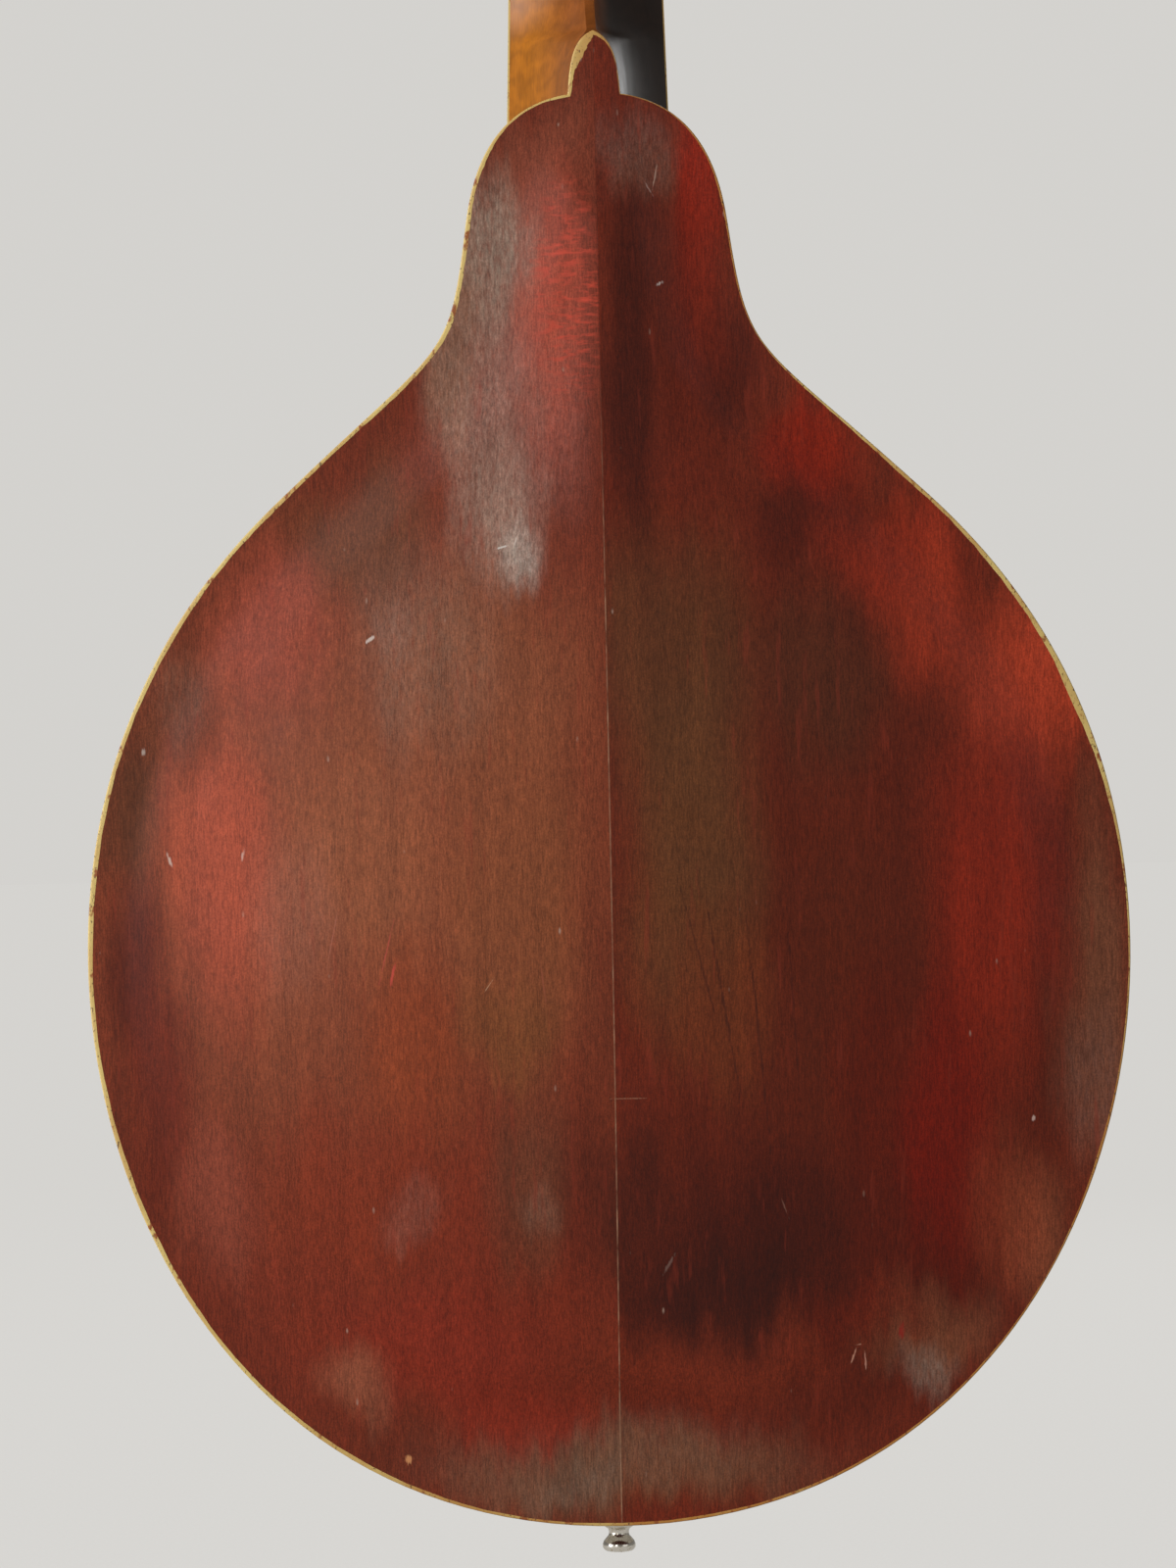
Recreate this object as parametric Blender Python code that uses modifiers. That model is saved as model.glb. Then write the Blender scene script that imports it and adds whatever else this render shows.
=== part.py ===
# A-style mandolin with a carved two-piece back, for Blender 4.5.
# Metres. +Z runs up the strings towards the headstock, -Y is the back and +X the bass side.
# The origin is at the nut, on the centre line, in the glue plane under the fingerboard.

from math import atan2, cos, hypot, pi, radians, sin

import bmesh
import bpy
from mathutils import Matrix, Vector
from mathutils.geometry import delaunay_2d_cdt, interpolate_bezier

GAP = 0.0003                       # clearance between two pieces that touch

# Body outline: half of it, from the tail to the neck joint
# Each knot is (half width, height above the tail, heading, handle behind, handle ahead)
BODY_KNOTS = (
    (0.0, 0.0, -90.0, 0.0, 0.0858),
    (0.1280, 0.1408, 0.0, 0.0680, 0.0699),
    (0.0757, 0.2562, 47.0, 0.0155, 0.0505),
    (0.0325, 0.3173, 8.0, 0.0317, 0.0099),
    (0.0, 0.3520, 90.0, 0.0284, 0.0),
)
BODY_LENGTH = 0.3520
BUTTON_HALF_WIDTH = 0.0065         # the heel button, a tongue of the back plate
BUTTON_LENGTH = 0.0152
BUTTON_FLANK = (0.0058, 0.0060)    # handles of its ogive, half width and way up from its foot
BUTTON_SHOULDER = (0.0058, 0.0128)
OUTLINE_STEPS = 11                 # points on each curve of the outline

# Neck and scale
SCALE_LENGTH = 0.3524
NECK_PITCH = radians(5.0)          # the neck leans back from the body
HEAD_ANGLE = radians(15.0)         # the headstock leans back from the neck
JOINT_DISTANCE = 0.1762            # nut to body, at the 12th fret
NUT_HALF_WIDTH = 0.0155
JOINT_HALF_WIDTH = 0.0205
NECK_DEPTH_NUT = 0.0140
NECK_DEPTH_HEEL = 0.0160

# Body depth
PLATE_THICKNESS = 0.0040
TOP_EDGE_Y = 0.0139
BACK_EDGE_Y = -0.0321
TOP_ARCH = 0.0115
BACK_ARCH = 0.0120
TOP_FULLNESS = 1.25                # a higher power keeps the upper top lower
BACK_FULLNESS = 1.0
RECURVE_START = 0.004              # flat glue rim inside the edge
RECURVE_WIDTH = 0.020
WIDEST_INSET = 0.128               # distance from the edge to the crown
RIM_THICKNESS = 0.0020
BINDING_WIDTH = 0.0012

# Sound hole
HOLE_HEIGHT = 0.2520               # centre above the tail
HOLE_HALF_WIDTH = 0.0290
HOLE_HALF_LENGTH = 0.0220
HOLE_BINDING = 0.0018

JOINT_Z = -JOINT_DISTANCE * cos(NECK_PITCH)
TAIL_Z = JOINT_Z - BODY_LENGTH

# Colours as linear red, green, blue, with roughness and metal
FINISHES = {
    "red_varnished_maple": ((0.165, 0.018, 0.008), 0.28, 0.0),
    "amber_neck_wood": ((0.48, 0.14, 0.022), 0.30, 0.0),
    "spruce_top": ((0.20, 0.055, 0.016), 0.32, 0.0),
    "inner_wood": ((0.55, 0.38, 0.20), 0.70, 0.0),
    "cream_binding": ((0.74, 0.56, 0.28), 0.35, 0.0),
    "ebony": ((0.018, 0.014, 0.012), 0.38, 0.0),
    "bone": ((0.80, 0.74, 0.58), 0.40, 0.0),
    "nickel": ((0.62, 0.59, 0.54), 0.25, 1.0),
    "brass": ((0.72, 0.48, 0.18), 0.30, 1.0),
    "steel_wire": ((0.60, 0.60, 0.60), 0.28, 1.0),
    "bronze_wire": ((0.60, 0.36, 0.17), 0.32, 1.0),
}


# Scene and collections

for old in list(bpy.data.objects):
    bpy.data.objects.remove(old, do_unlink=True)

parts = bpy.data.collections.new("a_style_mandolin")
cutters = bpy.data.collections.new("mandolin_cutters")
bpy.context.scene.collection.children.link(parts)
bpy.context.scene.collection.children.link(cutters)


# Helpers

def make_finish(name):
    colour, roughness, metal = FINISHES[name]
    material = bpy.data.materials.new(name)
    material.use_nodes = True
    shader = material.node_tree.nodes["Principled BSDF"]
    shader.inputs["Base Color"].default_value = (*colour, 1.0)
    shader.inputs["Roughness"].default_value = roughness
    shader.inputs["Metallic"].default_value = metal
    return material


finishes = {name: make_finish(name) for name in FINISHES}


def add_object(name, data, finish, matrix=None, collection=parts):
    item = bpy.data.objects.new(name, data)
    collection.objects.link(item)
    if finish:
        item.data.materials.clear()
        item.data.materials.append(finishes[finish])
    if matrix is not None:
        item.matrix_world = matrix
    return item


def mesh_of(bm, name, smooth=0.6):
    bmesh.ops.recalc_face_normals(bm, faces=bm.faces)
    mesh = bpy.data.meshes.new(name)
    bm.to_mesh(mesh)
    bm.free()
    mesh.shade_smooth()
    mesh.set_sharp_from_angle(angle=smooth)
    return mesh


def loft(name, rings, finish, matrix=None, collection=parts, smooth=0.6):
    # Joins closed rings of equal length by quads and closes both ends
    bm = bmesh.new()
    loops = [[bm.verts.new(point) for point in ring] for ring in rings]
    for low, high in zip(loops, loops[1:]):
        for i in range(len(low)):
            j = (i + 1) % len(low)
            bm.faces.new((low[i], low[j], high[j], high[i]))
    bm.faces.new(loops[0])
    bm.faces.new(loops[-1])
    return add_object(name, mesh_of(bm, name, smooth), finish, matrix, collection)


def flat_piece(name, loops, thickness, finish, matrix, collection=parts):
    # A flat outline with holes, extruded evenly to both sides of its plane
    curve = bpy.data.curves.new(name, "CURVE")
    curve.dimensions = "2D"
    curve.fill_mode = "BOTH"
    curve.extrude = thickness / 2
    for loop in loops:
        spline = curve.splines.new("POLY")
        spline.points.add(len(loop) - 1)
        for point, (x, y) in zip(spline.points, loop):
            point.co = (x, y, 0.0, 1.0)
        spline.use_cyclic_u = True
    guide = bpy.data.objects.new(name + "_curve", curve)
    parts.objects.link(guide)
    bpy.context.view_layer.update()
    evaluated = guide.evaluated_get(bpy.context.evaluated_depsgraph_get())
    bm = bmesh.new()
    bm.from_mesh(bpy.data.meshes.new_from_object(evaluated))
    bmesh.ops.remove_doubles(bm, verts=bm.verts, dist=1e-6)
    bpy.data.objects.remove(guide, do_unlink=True)
    return add_object(name, mesh_of(bm, name), finish, matrix, collection)


def rod(name, radius, length, sides, matrix, finish=None, collection=cutters):
    # A cylinder along its local Z, centred on its origin
    bm = bmesh.new()
    bmesh.ops.create_cone(bm, cap_ends=True, segments=sides, radius1=radius, radius2=radius, depth=length)
    item = add_object(name, mesh_of(bm, name), finish, matrix, collection)
    if collection is cutters:
        hide_cutter(item)
    return item


def block(name, size, matrix, finish=None, collection=cutters):
    bm = bmesh.new()
    bmesh.ops.create_cube(bm, size=1.0)
    bmesh.ops.scale(bm, vec=Vector(size), verts=bm.verts)
    item = add_object(name, mesh_of(bm, name), finish, matrix, collection)
    if collection is cutters:
        hide_cutter(item)
    return item


def hide_cutter(item):
    item.hide_render = True
    item.display_type = "WIRE"


def combine(item, other, operation):
    step = item.modifiers.new(operation.lower() + "_" + other.name, "BOOLEAN")
    step.operation = operation
    step.solver = "EXACT"
    step.object = other


def bezier(start, start_handle, end_handle, end, steps):
    # Points of one curve in the plane, without its last one
    ends = [Vector((*p, 0.0)) for p in (start, start_handle, end_handle, end)]
    return [(p.x, p.y) for p in interpolate_bezier(*ends, steps)][:-1]


def circle(x, y, radius, sides):
    return [(x + radius * cos(2 * pi * i / sides), y + radius * sin(2 * pi * i / sides))
            for i in range(sides)]


def offset_loop(points, distance):
    # Moves a closed loop that runs counter-clockwise inwards, with mitred corners
    moved = []
    for i, here in enumerate(points):
        before, after = points[i - 1], points[(i + 1) % len(points)]
        first = Vector((before[1] - here[1], here[0] - before[0])).normalized()
        second = Vector((here[1] - after[1], after[0] - here[0])).normalized()
        mitre = (first + second).normalized()
        reach = distance / mitre.dot(first)
        moved.append((here[0] + mitre.x * reach, here[1] + mitre.y * reach))
    return moved


def smoothstep(value):
    value = min(max(value, 0.0), 1.0)
    return value * value * (3.0 - 2.0 * value)


# Body outline

def body_half():
    # Half outline as (x, height above the tail), from the tail to the neck joint
    points = []
    for (x0, t0, turn0, _, ahead), (x1, t1, turn1, behind, _) in zip(BODY_KNOTS, BODY_KNOTS[1:]):
        a, b = radians(turn0), radians(turn1)
        start_handle = (x0 - ahead * sin(a), t0 + ahead * cos(a))
        end_handle = (x1 + behind * sin(b), t1 - behind * cos(b))
        points += bezier((x0, t0), start_handle, end_handle, (x1, t1), OUTLINE_STEPS)
    return points + [(0.0, BODY_LENGTH)]


def half_with_button():
    # The same half, but turning up a sharp corner into the heel button instead of on to the centre
    half = body_half()
    turning = max(i for i, (x, t) in enumerate(half) if x > BUTTON_HALF_WIDTH)
    (x0, t0), (x1, t1) = half[turning:turning + 2]
    foot = t0 + (t1 - t0) * (x0 - BUTTON_HALF_WIDTH) / (x0 - x1)
    tip = (0.0, BODY_LENGTH + BUTTON_LENGTH)
    handles = [(x, BODY_LENGTH + up) for x, up in (BUTTON_FLANK, BUTTON_SHOULDER)]
    return half[:turning + 1] + bezier((BUTTON_HALF_WIDTH, foot), *handles, tip, 7) + [tip]


def whole_loop(half):
    # Mirrors a half outline to a closed loop, counter-clockwise from the tail
    return half + [(-x, t) for x, t in reversed(half[1:-1])]


HALF = body_half()
BODY_LOOP = whole_loop(HALF)
BACK_LOOP = whole_loop(half_with_button())


def edge_distance(x, t):
    # Distance from a point on the plate to the nearest edge of the body
    nearest = 1.0
    for (x0, t0), (x1, t1) in zip(BODY_LOOP, BODY_LOOP[1:] + BODY_LOOP[:1]):
        along = ((x - x0) * (x1 - x0) + (t - t0) * (t1 - t0)) / ((x1 - x0) ** 2 + (t1 - t0) ** 2)
        along = min(max(along, 0.0), 1.0)
        nearest = min(nearest, hypot(x - x0 - along * (x1 - x0), t - t0 - along * (t1 - t0)))
    return nearest


def arch(x, t, height, fullness):
    # Carved height over the edge plane: flat rim, hollow recurve, then a slope up to the crown
    if t >= BODY_LENGTH:
        return 0.0
    inset = edge_distance(x, t)
    rise = min(max((inset - RECURVE_START) / (WIDEST_INSET - RECURVE_START), 0.0), 1.0)
    recurve = smoothstep((inset - RECURVE_START) / RECURVE_WIDTH)
    return height * sin(pi / 2 * rise) ** fullness * recurve


def top_surface(x, t):
    return TOP_EDGE_Y + arch(x, t, TOP_ARCH, TOP_FULLNESS)


def back_surface(x, t):
    return BACK_EDGE_Y - arch(x, t, BACK_ARCH, BACK_FULLNESS)


# Body plates

PLATE_STEP = 0.023                 # spacing of the carved surface's points
CONTOURS = (0.006, 0.014, 0.024)   # insets that follow the edge


def inner_points(keep):
    # Points of the carved surface: contours along the edge, then rows across the middle
    points = []
    for depth in CONTOURS:
        for x, t in offset_loop(BODY_LOOP, depth)[::2]:
            if edge_distance(x, t) > 0.96 * depth and keep(x, t):
                points.append((x, t))
    rows = int(BODY_LENGTH / PLATE_STEP)
    for row in range(1, rows):
        t = BODY_LENGTH * row / rows
        for column in range(-6, 7):
            x = PLATE_STEP * column
            if edge_distance(x, t) > CONTOURS[-1] + PLATE_STEP / 2 and keep(x, t):
                points.append((x, t))
    return points


def carved_plate(name, loops, inside, keep, surface, thickness, finish):
    # Triangles between the outline, its hole and the surface's points, extruded to a solid
    points = [p for loop in loops for p in loop]
    edges = []
    start = 0
    for loop in loops:
        edges += [(start + i, start + (i + 1) % len(loop)) for i in range(len(loop))]
        start += len(loop)
    points += inner_points(keep)
    flat = [Vector(p) for p in points]
    corners, _, faces, *_ = delaunay_2d_cdt(flat, edges, [], 1, 1e-7)
    bm = bmesh.new()
    verts = [bm.verts.new((p.x, surface(p.x, p.y), TAIL_Z + p.y)) for p in corners]
    for face in faces:
        middle = sum((corners[i] for i in face), Vector((0.0, 0.0))) / 3
        if inside(middle.x, middle.y):
            bm.faces.new([verts[i] for i in face])
    for vert in [v for v in bm.verts if not v.link_faces]:
        bm.verts.remove(vert)
    grown = bmesh.ops.extrude_face_region(bm, geom=list(bm.faces))["geom"]
    moved = [v for v in grown if isinstance(v, bmesh.types.BMVert)]
    bmesh.ops.translate(bm, vec=(0.0, thickness, 0.0), verts=moved)
    return add_object(name, mesh_of(bm, name, 0.5), finish)


def half_plate_loop(side):
    # One half of the back inside its binding, with the glued seam along the centre
    inset = offset_loop(BACK_LOOP, BINDING_WIDTH + GAP)
    count = len(BACK_LOOP) // 2
    flank = [(side * max(abs(x), GAP / 2), t) for x, t in inset[:count + 1]]
    top = flank[-1][1]
    seam = [(side * GAP / 2, top - (top - flank[0][1]) * i / 24) for i in range(1, 24)]
    return flank + seam


for side, word in ((1, "bass"), (-1, "treble")):
    loop = half_plate_loop(side)
    carved_plate(f"back_{word}_half", [loop], lambda x, t: True,
                 lambda x, t: side * x > 0.010, back_surface, PLATE_THICKNESS, "red_varnished_maple")


def hole_loop(margin, sides=28):
    # The oval sound hole, grown by a margin
    return [((HOLE_HALF_WIDTH + margin) * cos(2 * pi * i / sides),
             HOLE_HEIGHT + (HOLE_HALF_LENGTH + margin) * sin(2 * pi * i / sides)) for i in range(sides)]


def outside_hole(x, t, margin):
    return hypot(x / (HOLE_HALF_WIDTH + margin), (t - HOLE_HEIGHT) / (HOLE_HALF_LENGTH + margin)) > 1.0


carved_plate("top_plate", [offset_loop(BODY_LOOP, BINDING_WIDTH + GAP), hole_loop(HOLE_BINDING + GAP)],
             lambda x, t: outside_hole(x, t, HOLE_BINDING), lambda x, t: outside_hole(x, t, 0.010),
             top_surface, -PLATE_THICKNESS, "spruce_top")


def oval_rim(margin, drop):
    return [Vector((x, top_surface(x, t) - drop, TAIL_Z + t)) for x, t in hole_loop(margin)]


def ring_between(name, loops, finish):
    # A closed ring lofted round the oval from its four corner loops
    rings = [list(corner) for corner in zip(*loops)]
    bm = bmesh.new()
    grid = [[bm.verts.new(point) for point in ring] for ring in rings]
    for i, here in enumerate(grid):
        after = grid[(i + 1) % len(grid)]
        for j in range(len(here)):
            k = (j + 1) % len(here)
            bm.faces.new((here[j], here[k], after[k], after[j]))
    return add_object(name, mesh_of(bm, name), finish)


ring_between("soundhole_binding", (oval_rim(0.0, 0.0), oval_rim(HOLE_BINDING, 0.0),
                                   oval_rim(HOLE_BINDING, PLATE_THICKNESS), oval_rim(0.0, PLATE_THICKNESS)),
             "cream_binding")

FLAT = Matrix.Rotation(radians(90.0), 4, "X")    # turns a flat outline to face front and back


def in_body(y):
    # Places a flat outline drawn as (x, height above the tail) at a depth
    return Matrix.Translation((0.0, y, TAIL_Z)) @ FLAT


flat_piece("back_binding", [BACK_LOOP, offset_loop(BACK_LOOP, BINDING_WIDTH)], PLATE_THICKNESS,
           "cream_binding", in_body(BACK_EDGE_Y + PLATE_THICKNESS / 2))
flat_piece("top_binding", [BODY_LOOP, offset_loop(BODY_LOOP, BINDING_WIDTH)], PLATE_THICKNESS,
           "cream_binding", in_body(TOP_EDGE_Y - PLATE_THICKNESS / 2))


# Rim, linings, blocks and brace

INNER_BACK_Y = BACK_EDGE_Y + PLATE_THICKNESS
INNER_TOP_Y = TOP_EDGE_Y - PLATE_THICKNESS
RIM_DEPTH = INNER_TOP_Y - INNER_BACK_Y - 2 * GAP
RIM_MIDDLE_Y = (INNER_TOP_Y + INNER_BACK_Y) / 2
LINING_WIDTH = 0.005
LINING_DEPTH = 0.008
NECK_BLOCK = (0.040, 0.030)        # width and length
TAIL_BLOCK = (0.050, 0.026)
TENON_HALF_WIDTH = 0.0065          # the dovetail at the body's edge
TENON_FLARE = 0.0025
TENON_LENGTH = 0.012
TENON_BACK_Y = -0.0180
END_PIN_Y = (TOP_EDGE_Y + BACK_EDGE_Y) / 2
PIN_SHANK = 0.0024
PIN_LENGTH = 0.0140                # of the shank inside the tail block
# The end pin's flange and knob outside, as radius and height over the rim
PIN_KNOB = ((PIN_SHANK, -0.0016), (0.0039, -0.0016), (0.0039, -0.0026), (0.0026, -0.0036),
            (0.0026, -0.0050), (0.0040, -0.0066), (0.0041, -0.0080), (0.0032, -0.0090))
BRACE_HEIGHT = 0.205               # above the tail
BRACE_HALF_LENGTH = 0.092
CARVED_GAP = 0.0008                # clearance under a carved surface, whose facets are coarse


def half_strip(side, outer, inner):
    # One flank of a loop pair, from the tail seam to the top seam
    count = len(outer) // 2
    near = [(side * max(x, GAP / 2), t) for x, t in outer[:count + 1]]
    far = [(side * max(x, GAP / 2), t) for x, t in inner[:count + 1]]
    return near + far[::-1]


joint_notch = block("joint_notch", (2 * (TENON_HALF_WIDTH + TENON_FLARE + 2 * GAP), 0.06, 0.016),
                    Matrix.Translation((0.0, RIM_MIDDLE_Y, JOINT_Z)))
pin_bore = rod("pin_bore", PIN_SHANK + GAP, 0.050, 12,
               Matrix.Translation((0.0, END_PIN_Y, TAIL_Z - 0.007)))
rim_inside = offset_loop(BODY_LOOP, RIM_THICKNESS)
for side, word in ((1, "bass"), (-1, "treble")):
    rib = flat_piece(f"side_{word}", [half_strip(side, BODY_LOOP, rim_inside)], RIM_DEPTH,
                     "red_varnished_maple", in_body(RIM_MIDDLE_Y))
    combine(rib, joint_notch, "DIFFERENCE")
    combine(rib, pin_bore, "DIFFERENCE")

chamber = flat_piece("chamber", [offset_loop(BODY_LOOP, RIM_THICKNESS + GAP)], RIM_DEPTH,
                     None, in_body(RIM_MIDDLE_Y), cutters)
hide_cutter(chamber)


def dovetail(grow):
    # The neck's dovetail seen from the front, grown for the socket in the block
    mouth = TENON_HALF_WIDTH + grow
    root = mouth + TENON_FLARE
    return [(-mouth, BODY_LENGTH + 0.004), (-root, BODY_LENGTH - TENON_LENGTH - grow),
            (root, BODY_LENGTH - TENON_LENGTH - grow), (mouth, BODY_LENGTH + 0.004)]


def end_block(name, size, at_z, cutter):
    item = block(name, (size[0], RIM_DEPTH, size[1]), Matrix.Translation((0.0, RIM_MIDDLE_Y, at_z)),
                 "inner_wood", parts)
    combine(item, chamber, "INTERSECT")
    combine(item, cutter, "DIFFERENCE")
    return item


socket = flat_piece("socket", [dovetail(GAP)], 0.040, None,
                    in_body(TENON_BACK_Y - GAP + 0.020), cutters)
hide_cutter(socket)
end_block("neck_block", NECK_BLOCK, JOINT_Z - NECK_BLOCK[1] / 2, socket)
end_block("tail_block", TAIL_BLOCK, TAIL_Z + TAIL_BLOCK[1] / 2, pin_bore)


def lining(name, side, edge_y, inward):
    # A three-cornered strip that widens the rim where a plate is glued on
    outer = offset_loop(BODY_LOOP, RIM_THICKNESS + GAP)
    inner = offset_loop(BODY_LOOP, RIM_THICKNESS + GAP + LINING_WIDTH)
    rings = []
    for (x0, t0), (x1, t1) in list(zip(outer, inner))[:len(outer) // 2]:
        clear = TAIL_BLOCK[0] / 2 + 0.002 if t0 < BODY_LENGTH / 2 else NECK_BLOCK[0] / 2 + 0.001
        if min(x0, x1) > clear:
            rings.append([Vector((side * x0, edge_y, TAIL_Z + t0)),
                          Vector((side * x1, edge_y, TAIL_Z + t1)),
                          Vector((side * x0, edge_y + inward * LINING_DEPTH, TAIL_Z + t0))])
    loft(name, rings, "inner_wood")


for side, word in ((1, "bass"), (-1, "treble")):
    lining(f"top_lining_{word}", side, INNER_TOP_Y - GAP, -1)
    lining(f"back_lining_{word}", side, INNER_BACK_Y + GAP, 1)


def top_brace():
    # A cross bar glued under the top below the sound hole, scooped towards its ends
    rings = []
    for i in range(13):
        x = BRACE_HALF_LENGTH * (i / 6 - 1)
        upper = top_surface(x, BRACE_HEIGHT) - PLATE_THICKNESS - CARVED_GAP
        lower = upper - 0.003 - 0.007 * smoothstep(1.6 * (1 - abs(x) / BRACE_HALF_LENGTH))
        z = TAIL_Z + BRACE_HEIGHT
        rings.append([Vector((x, upper, z - 0.004)), Vector((x, upper, z + 0.004)),
                      Vector((x, lower, z + 0.003)), Vector((x, lower, z - 0.003))])
    loft("top_brace", rings, "inner_wood")


top_brace()


# Neck, headstock and fingerboard

def frame_of(origin, along, front):
    # Local X across, local Y along and local Z out of a surface
    return Matrix.Translation(origin) @ Matrix((Vector((1.0, 0.0, 0.0)), along, front)).transposed().to_4x4()


def plane_axes(pitch):
    return Vector((0.0, sin(pitch), -cos(pitch))), Vector((0.0, cos(pitch), sin(pitch)))


NECK_ALONG, NECK_FRONT = plane_axes(NECK_PITCH)
HEAD_ALONG, HEAD_FRONT = plane_axes(NECK_PITCH + HEAD_ANGLE)
NUT_THICKNESS = 0.0045
HEAD_ORIGIN = NECK_ALONG * -NUT_THICKNESS
NECK_FRAME = frame_of(Vector(), NECK_ALONG, NECK_FRONT)       # x, distance from the nut, height
HEAD_FRAME = frame_of(HEAD_ORIGIN, HEAD_ALONG, HEAD_FRONT)    # x, minus the way up, height

HEAD_THICKNESS = 0.0140
VENEER = 0.0015
HEAD_LENGTH = 0.146
SECTION_LEVELS = (0.0, 0.18, 0.42, 0.66, 0.86, 1.0)
HEEL_START = 0.122
HEEL_TIP = 0.1573                  # where the heel reaches the button's tip
HEEL_FOOT_Y = INNER_BACK_Y + GAP
CUTTER_DEPTH = 0.120               # deeper than the body


def head_half():
    # Half of the headstock's outline as (half width, way up)
    return (bezier((0.0158, 0.0), (0.0158, 0.012), (0.0268, 0.012), (0.0280, 0.030), 6)
            + bezier((0.0280, 0.030), (0.0285, 0.048), (0.0340, 0.085), (0.0368, 0.120), 5)
            + bezier((0.0368, 0.120), (0.0376, 0.132), (0.0210, HEAD_LENGTH), (0.0, HEAD_LENGTH), 7))


def neck_half_width(s):
    return NUT_HALF_WIDTH + (JOINT_HALF_WIDTH - NUT_HALF_WIDTH) * s / JOINT_DISTANCE


def section(half_width, depth, ridge, heel, square):
    # Half section from the front edge down to the ridge: a V, drawn in for the heel or squared
    side = []
    for level in SECTION_LEVELS:
        v_neck = max(half_width * (1 - level ** 1.45) ** (1 / 1.45), ridge)
        waisted = ridge + (half_width - ridge) * (1 - level) ** 2
        x = v_neck + (waisted - v_neck) * heel
        side.append((x + (half_width - x) * square, -depth * level))
    return side + [(0.0, -depth * (1.02 - 0.02 * max(heel, square)))] + [(-x, z) for x, z in side[::-1]]


def heel_depth(s):
    # The neck's depth at the ridge: even, then swept down to the heel button
    even = NECK_DEPTH_NUT + (NECK_DEPTH_HEEL - NECK_DEPTH_NUT) * max(s, 0.0) / HEEL_START
    if s <= HEEL_START:
        return even
    foot = (max(s, HEEL_TIP) * sin(NECK_PITCH) - HEEL_FOOT_Y) / cos(NECK_PITCH)
    if s >= HEEL_TIP:
        return foot
    swept = (s - HEEL_START) / (HEEL_TIP - HEEL_START)
    return NECK_DEPTH_HEEL + (foot - NECK_DEPTH_HEEL) * (1 - (1 - swept ** 2.2) ** 0.5)


def neck_rings():
    rings = []
    for half_width, up in reversed(head_half()[1:]):
        square = smoothstep((up - 0.002) / 0.028)
        ring = section(half_width, HEAD_THICKNESS, 0.0012, 0.0, square)
        if up > 0.006:
            rings.append([HEAD_FRAME @ Vector((x, -up, z)) for x, z in ring])
    button = JOINT_DISTANCE - HEEL_TIP
    stations = [-NUT_THICKNESS, 0.0, 0.030, 0.065, 0.100]
    stations += [HEEL_START + (HEEL_TIP - HEEL_START) * k for k in (0.0, 0.25, 0.45, 0.62, 0.76, 0.87, 0.95)]
    stations += [HEEL_TIP + button * k for k in (0.0, 0.12, 0.30, 0.60, 1.2)]
    for s in stations:
        heel = smoothstep((s - HEEL_START + 0.008) / (HEEL_TIP - HEEL_START))
        foot = min(max((s - HEEL_TIP) / button, 0.0), 1.0)
        ridge = 0.0012 + (BUTTON_HALF_WIDTH - 0.0018) * (1 - (1 - foot) ** 2) ** 0.5
        ring = section(neck_half_width(s), heel_depth(s), ridge, heel, 0.0)
        rings.append([NECK_FRAME @ Vector((x, s, z)) for x, z in ring])
    return rings


neck = loft("neck", neck_rings(), "amber_neck_wood")
body_outside = flat_piece("body_outside", [offset_loop(BODY_LOOP, -GAP)], CUTTER_DEPTH, None,
                          in_body(0.0), cutters)
hide_cutter(body_outside)
combine(neck, body_outside, "DIFFERENCE")
TENON_FRONT_Y = INNER_TOP_Y - GAP
tenon = flat_piece("tenon", [dovetail(0.0)], TENON_FRONT_Y - TENON_BACK_Y, None,
                   in_body((TENON_FRONT_Y + TENON_BACK_Y) / 2), cutters)
hide_cutter(tenon)
combine(neck, tenon, "UNION")

BOARD_THICKNESS = 0.0050
BOARD_END = 0.2450                 # distance from the nut to the end over the body
BOARD_BINDING = 0.0012
FRET_COUNT = 20
FRET_HEIGHT = 0.0010
FRET_HALF_WIDTH = 0.0010


def fret_distance(number):
    return SCALE_LENGTH * (1 - 2 ** (-number / 12))


def fingerboard():
    # A tapered board whose length profile carries the fret wires
    profile = [(GAP, BOARD_THICKNESS)]
    for number in range(1, FRET_COUNT + 1):
        for step, height in ((-1.0, 0.0), (-0.5, 1.0), (0.5, 1.0), (1.0, 0.0)):
            profile.append((fret_distance(number) + step * FRET_HALF_WIDTH,
                            BOARD_THICKNESS + height * FRET_HEIGHT))
    profile.append((BOARD_END - BOARD_BINDING - GAP, BOARD_THICKNESS))
    rings = []
    for s, height in profile:
        x = neck_half_width(s) - BOARD_BINDING - GAP
        rings.append([Vector(p) for p in ((-x, s, GAP), (x, s, GAP), (x, s, height), (-x, s, height))])
    loft("fingerboard", rings, "ebony", NECK_FRAME)


fingerboard()


def board_edge(inset, end):
    return [(neck_half_width(GAP) - inset, GAP), (neck_half_width(end) - inset, end)]


outer_edge = board_edge(0.0, BOARD_END)
inner_edge = board_edge(BOARD_BINDING, BOARD_END - BOARD_BINDING)
binding_loop = outer_edge + [(-x, s) for x, s in outer_edge[::-1]]
binding_loop += [(-x, s) for x, s in inner_edge] + inner_edge[::-1]
flat_piece("fingerboard_binding", [binding_loop], BOARD_THICKNESS - GAP, "cream_binding",
           NECK_FRAME @ Matrix.Translation((0.0, 0.0, (BOARD_THICKNESS + GAP) / 2)))


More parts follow.
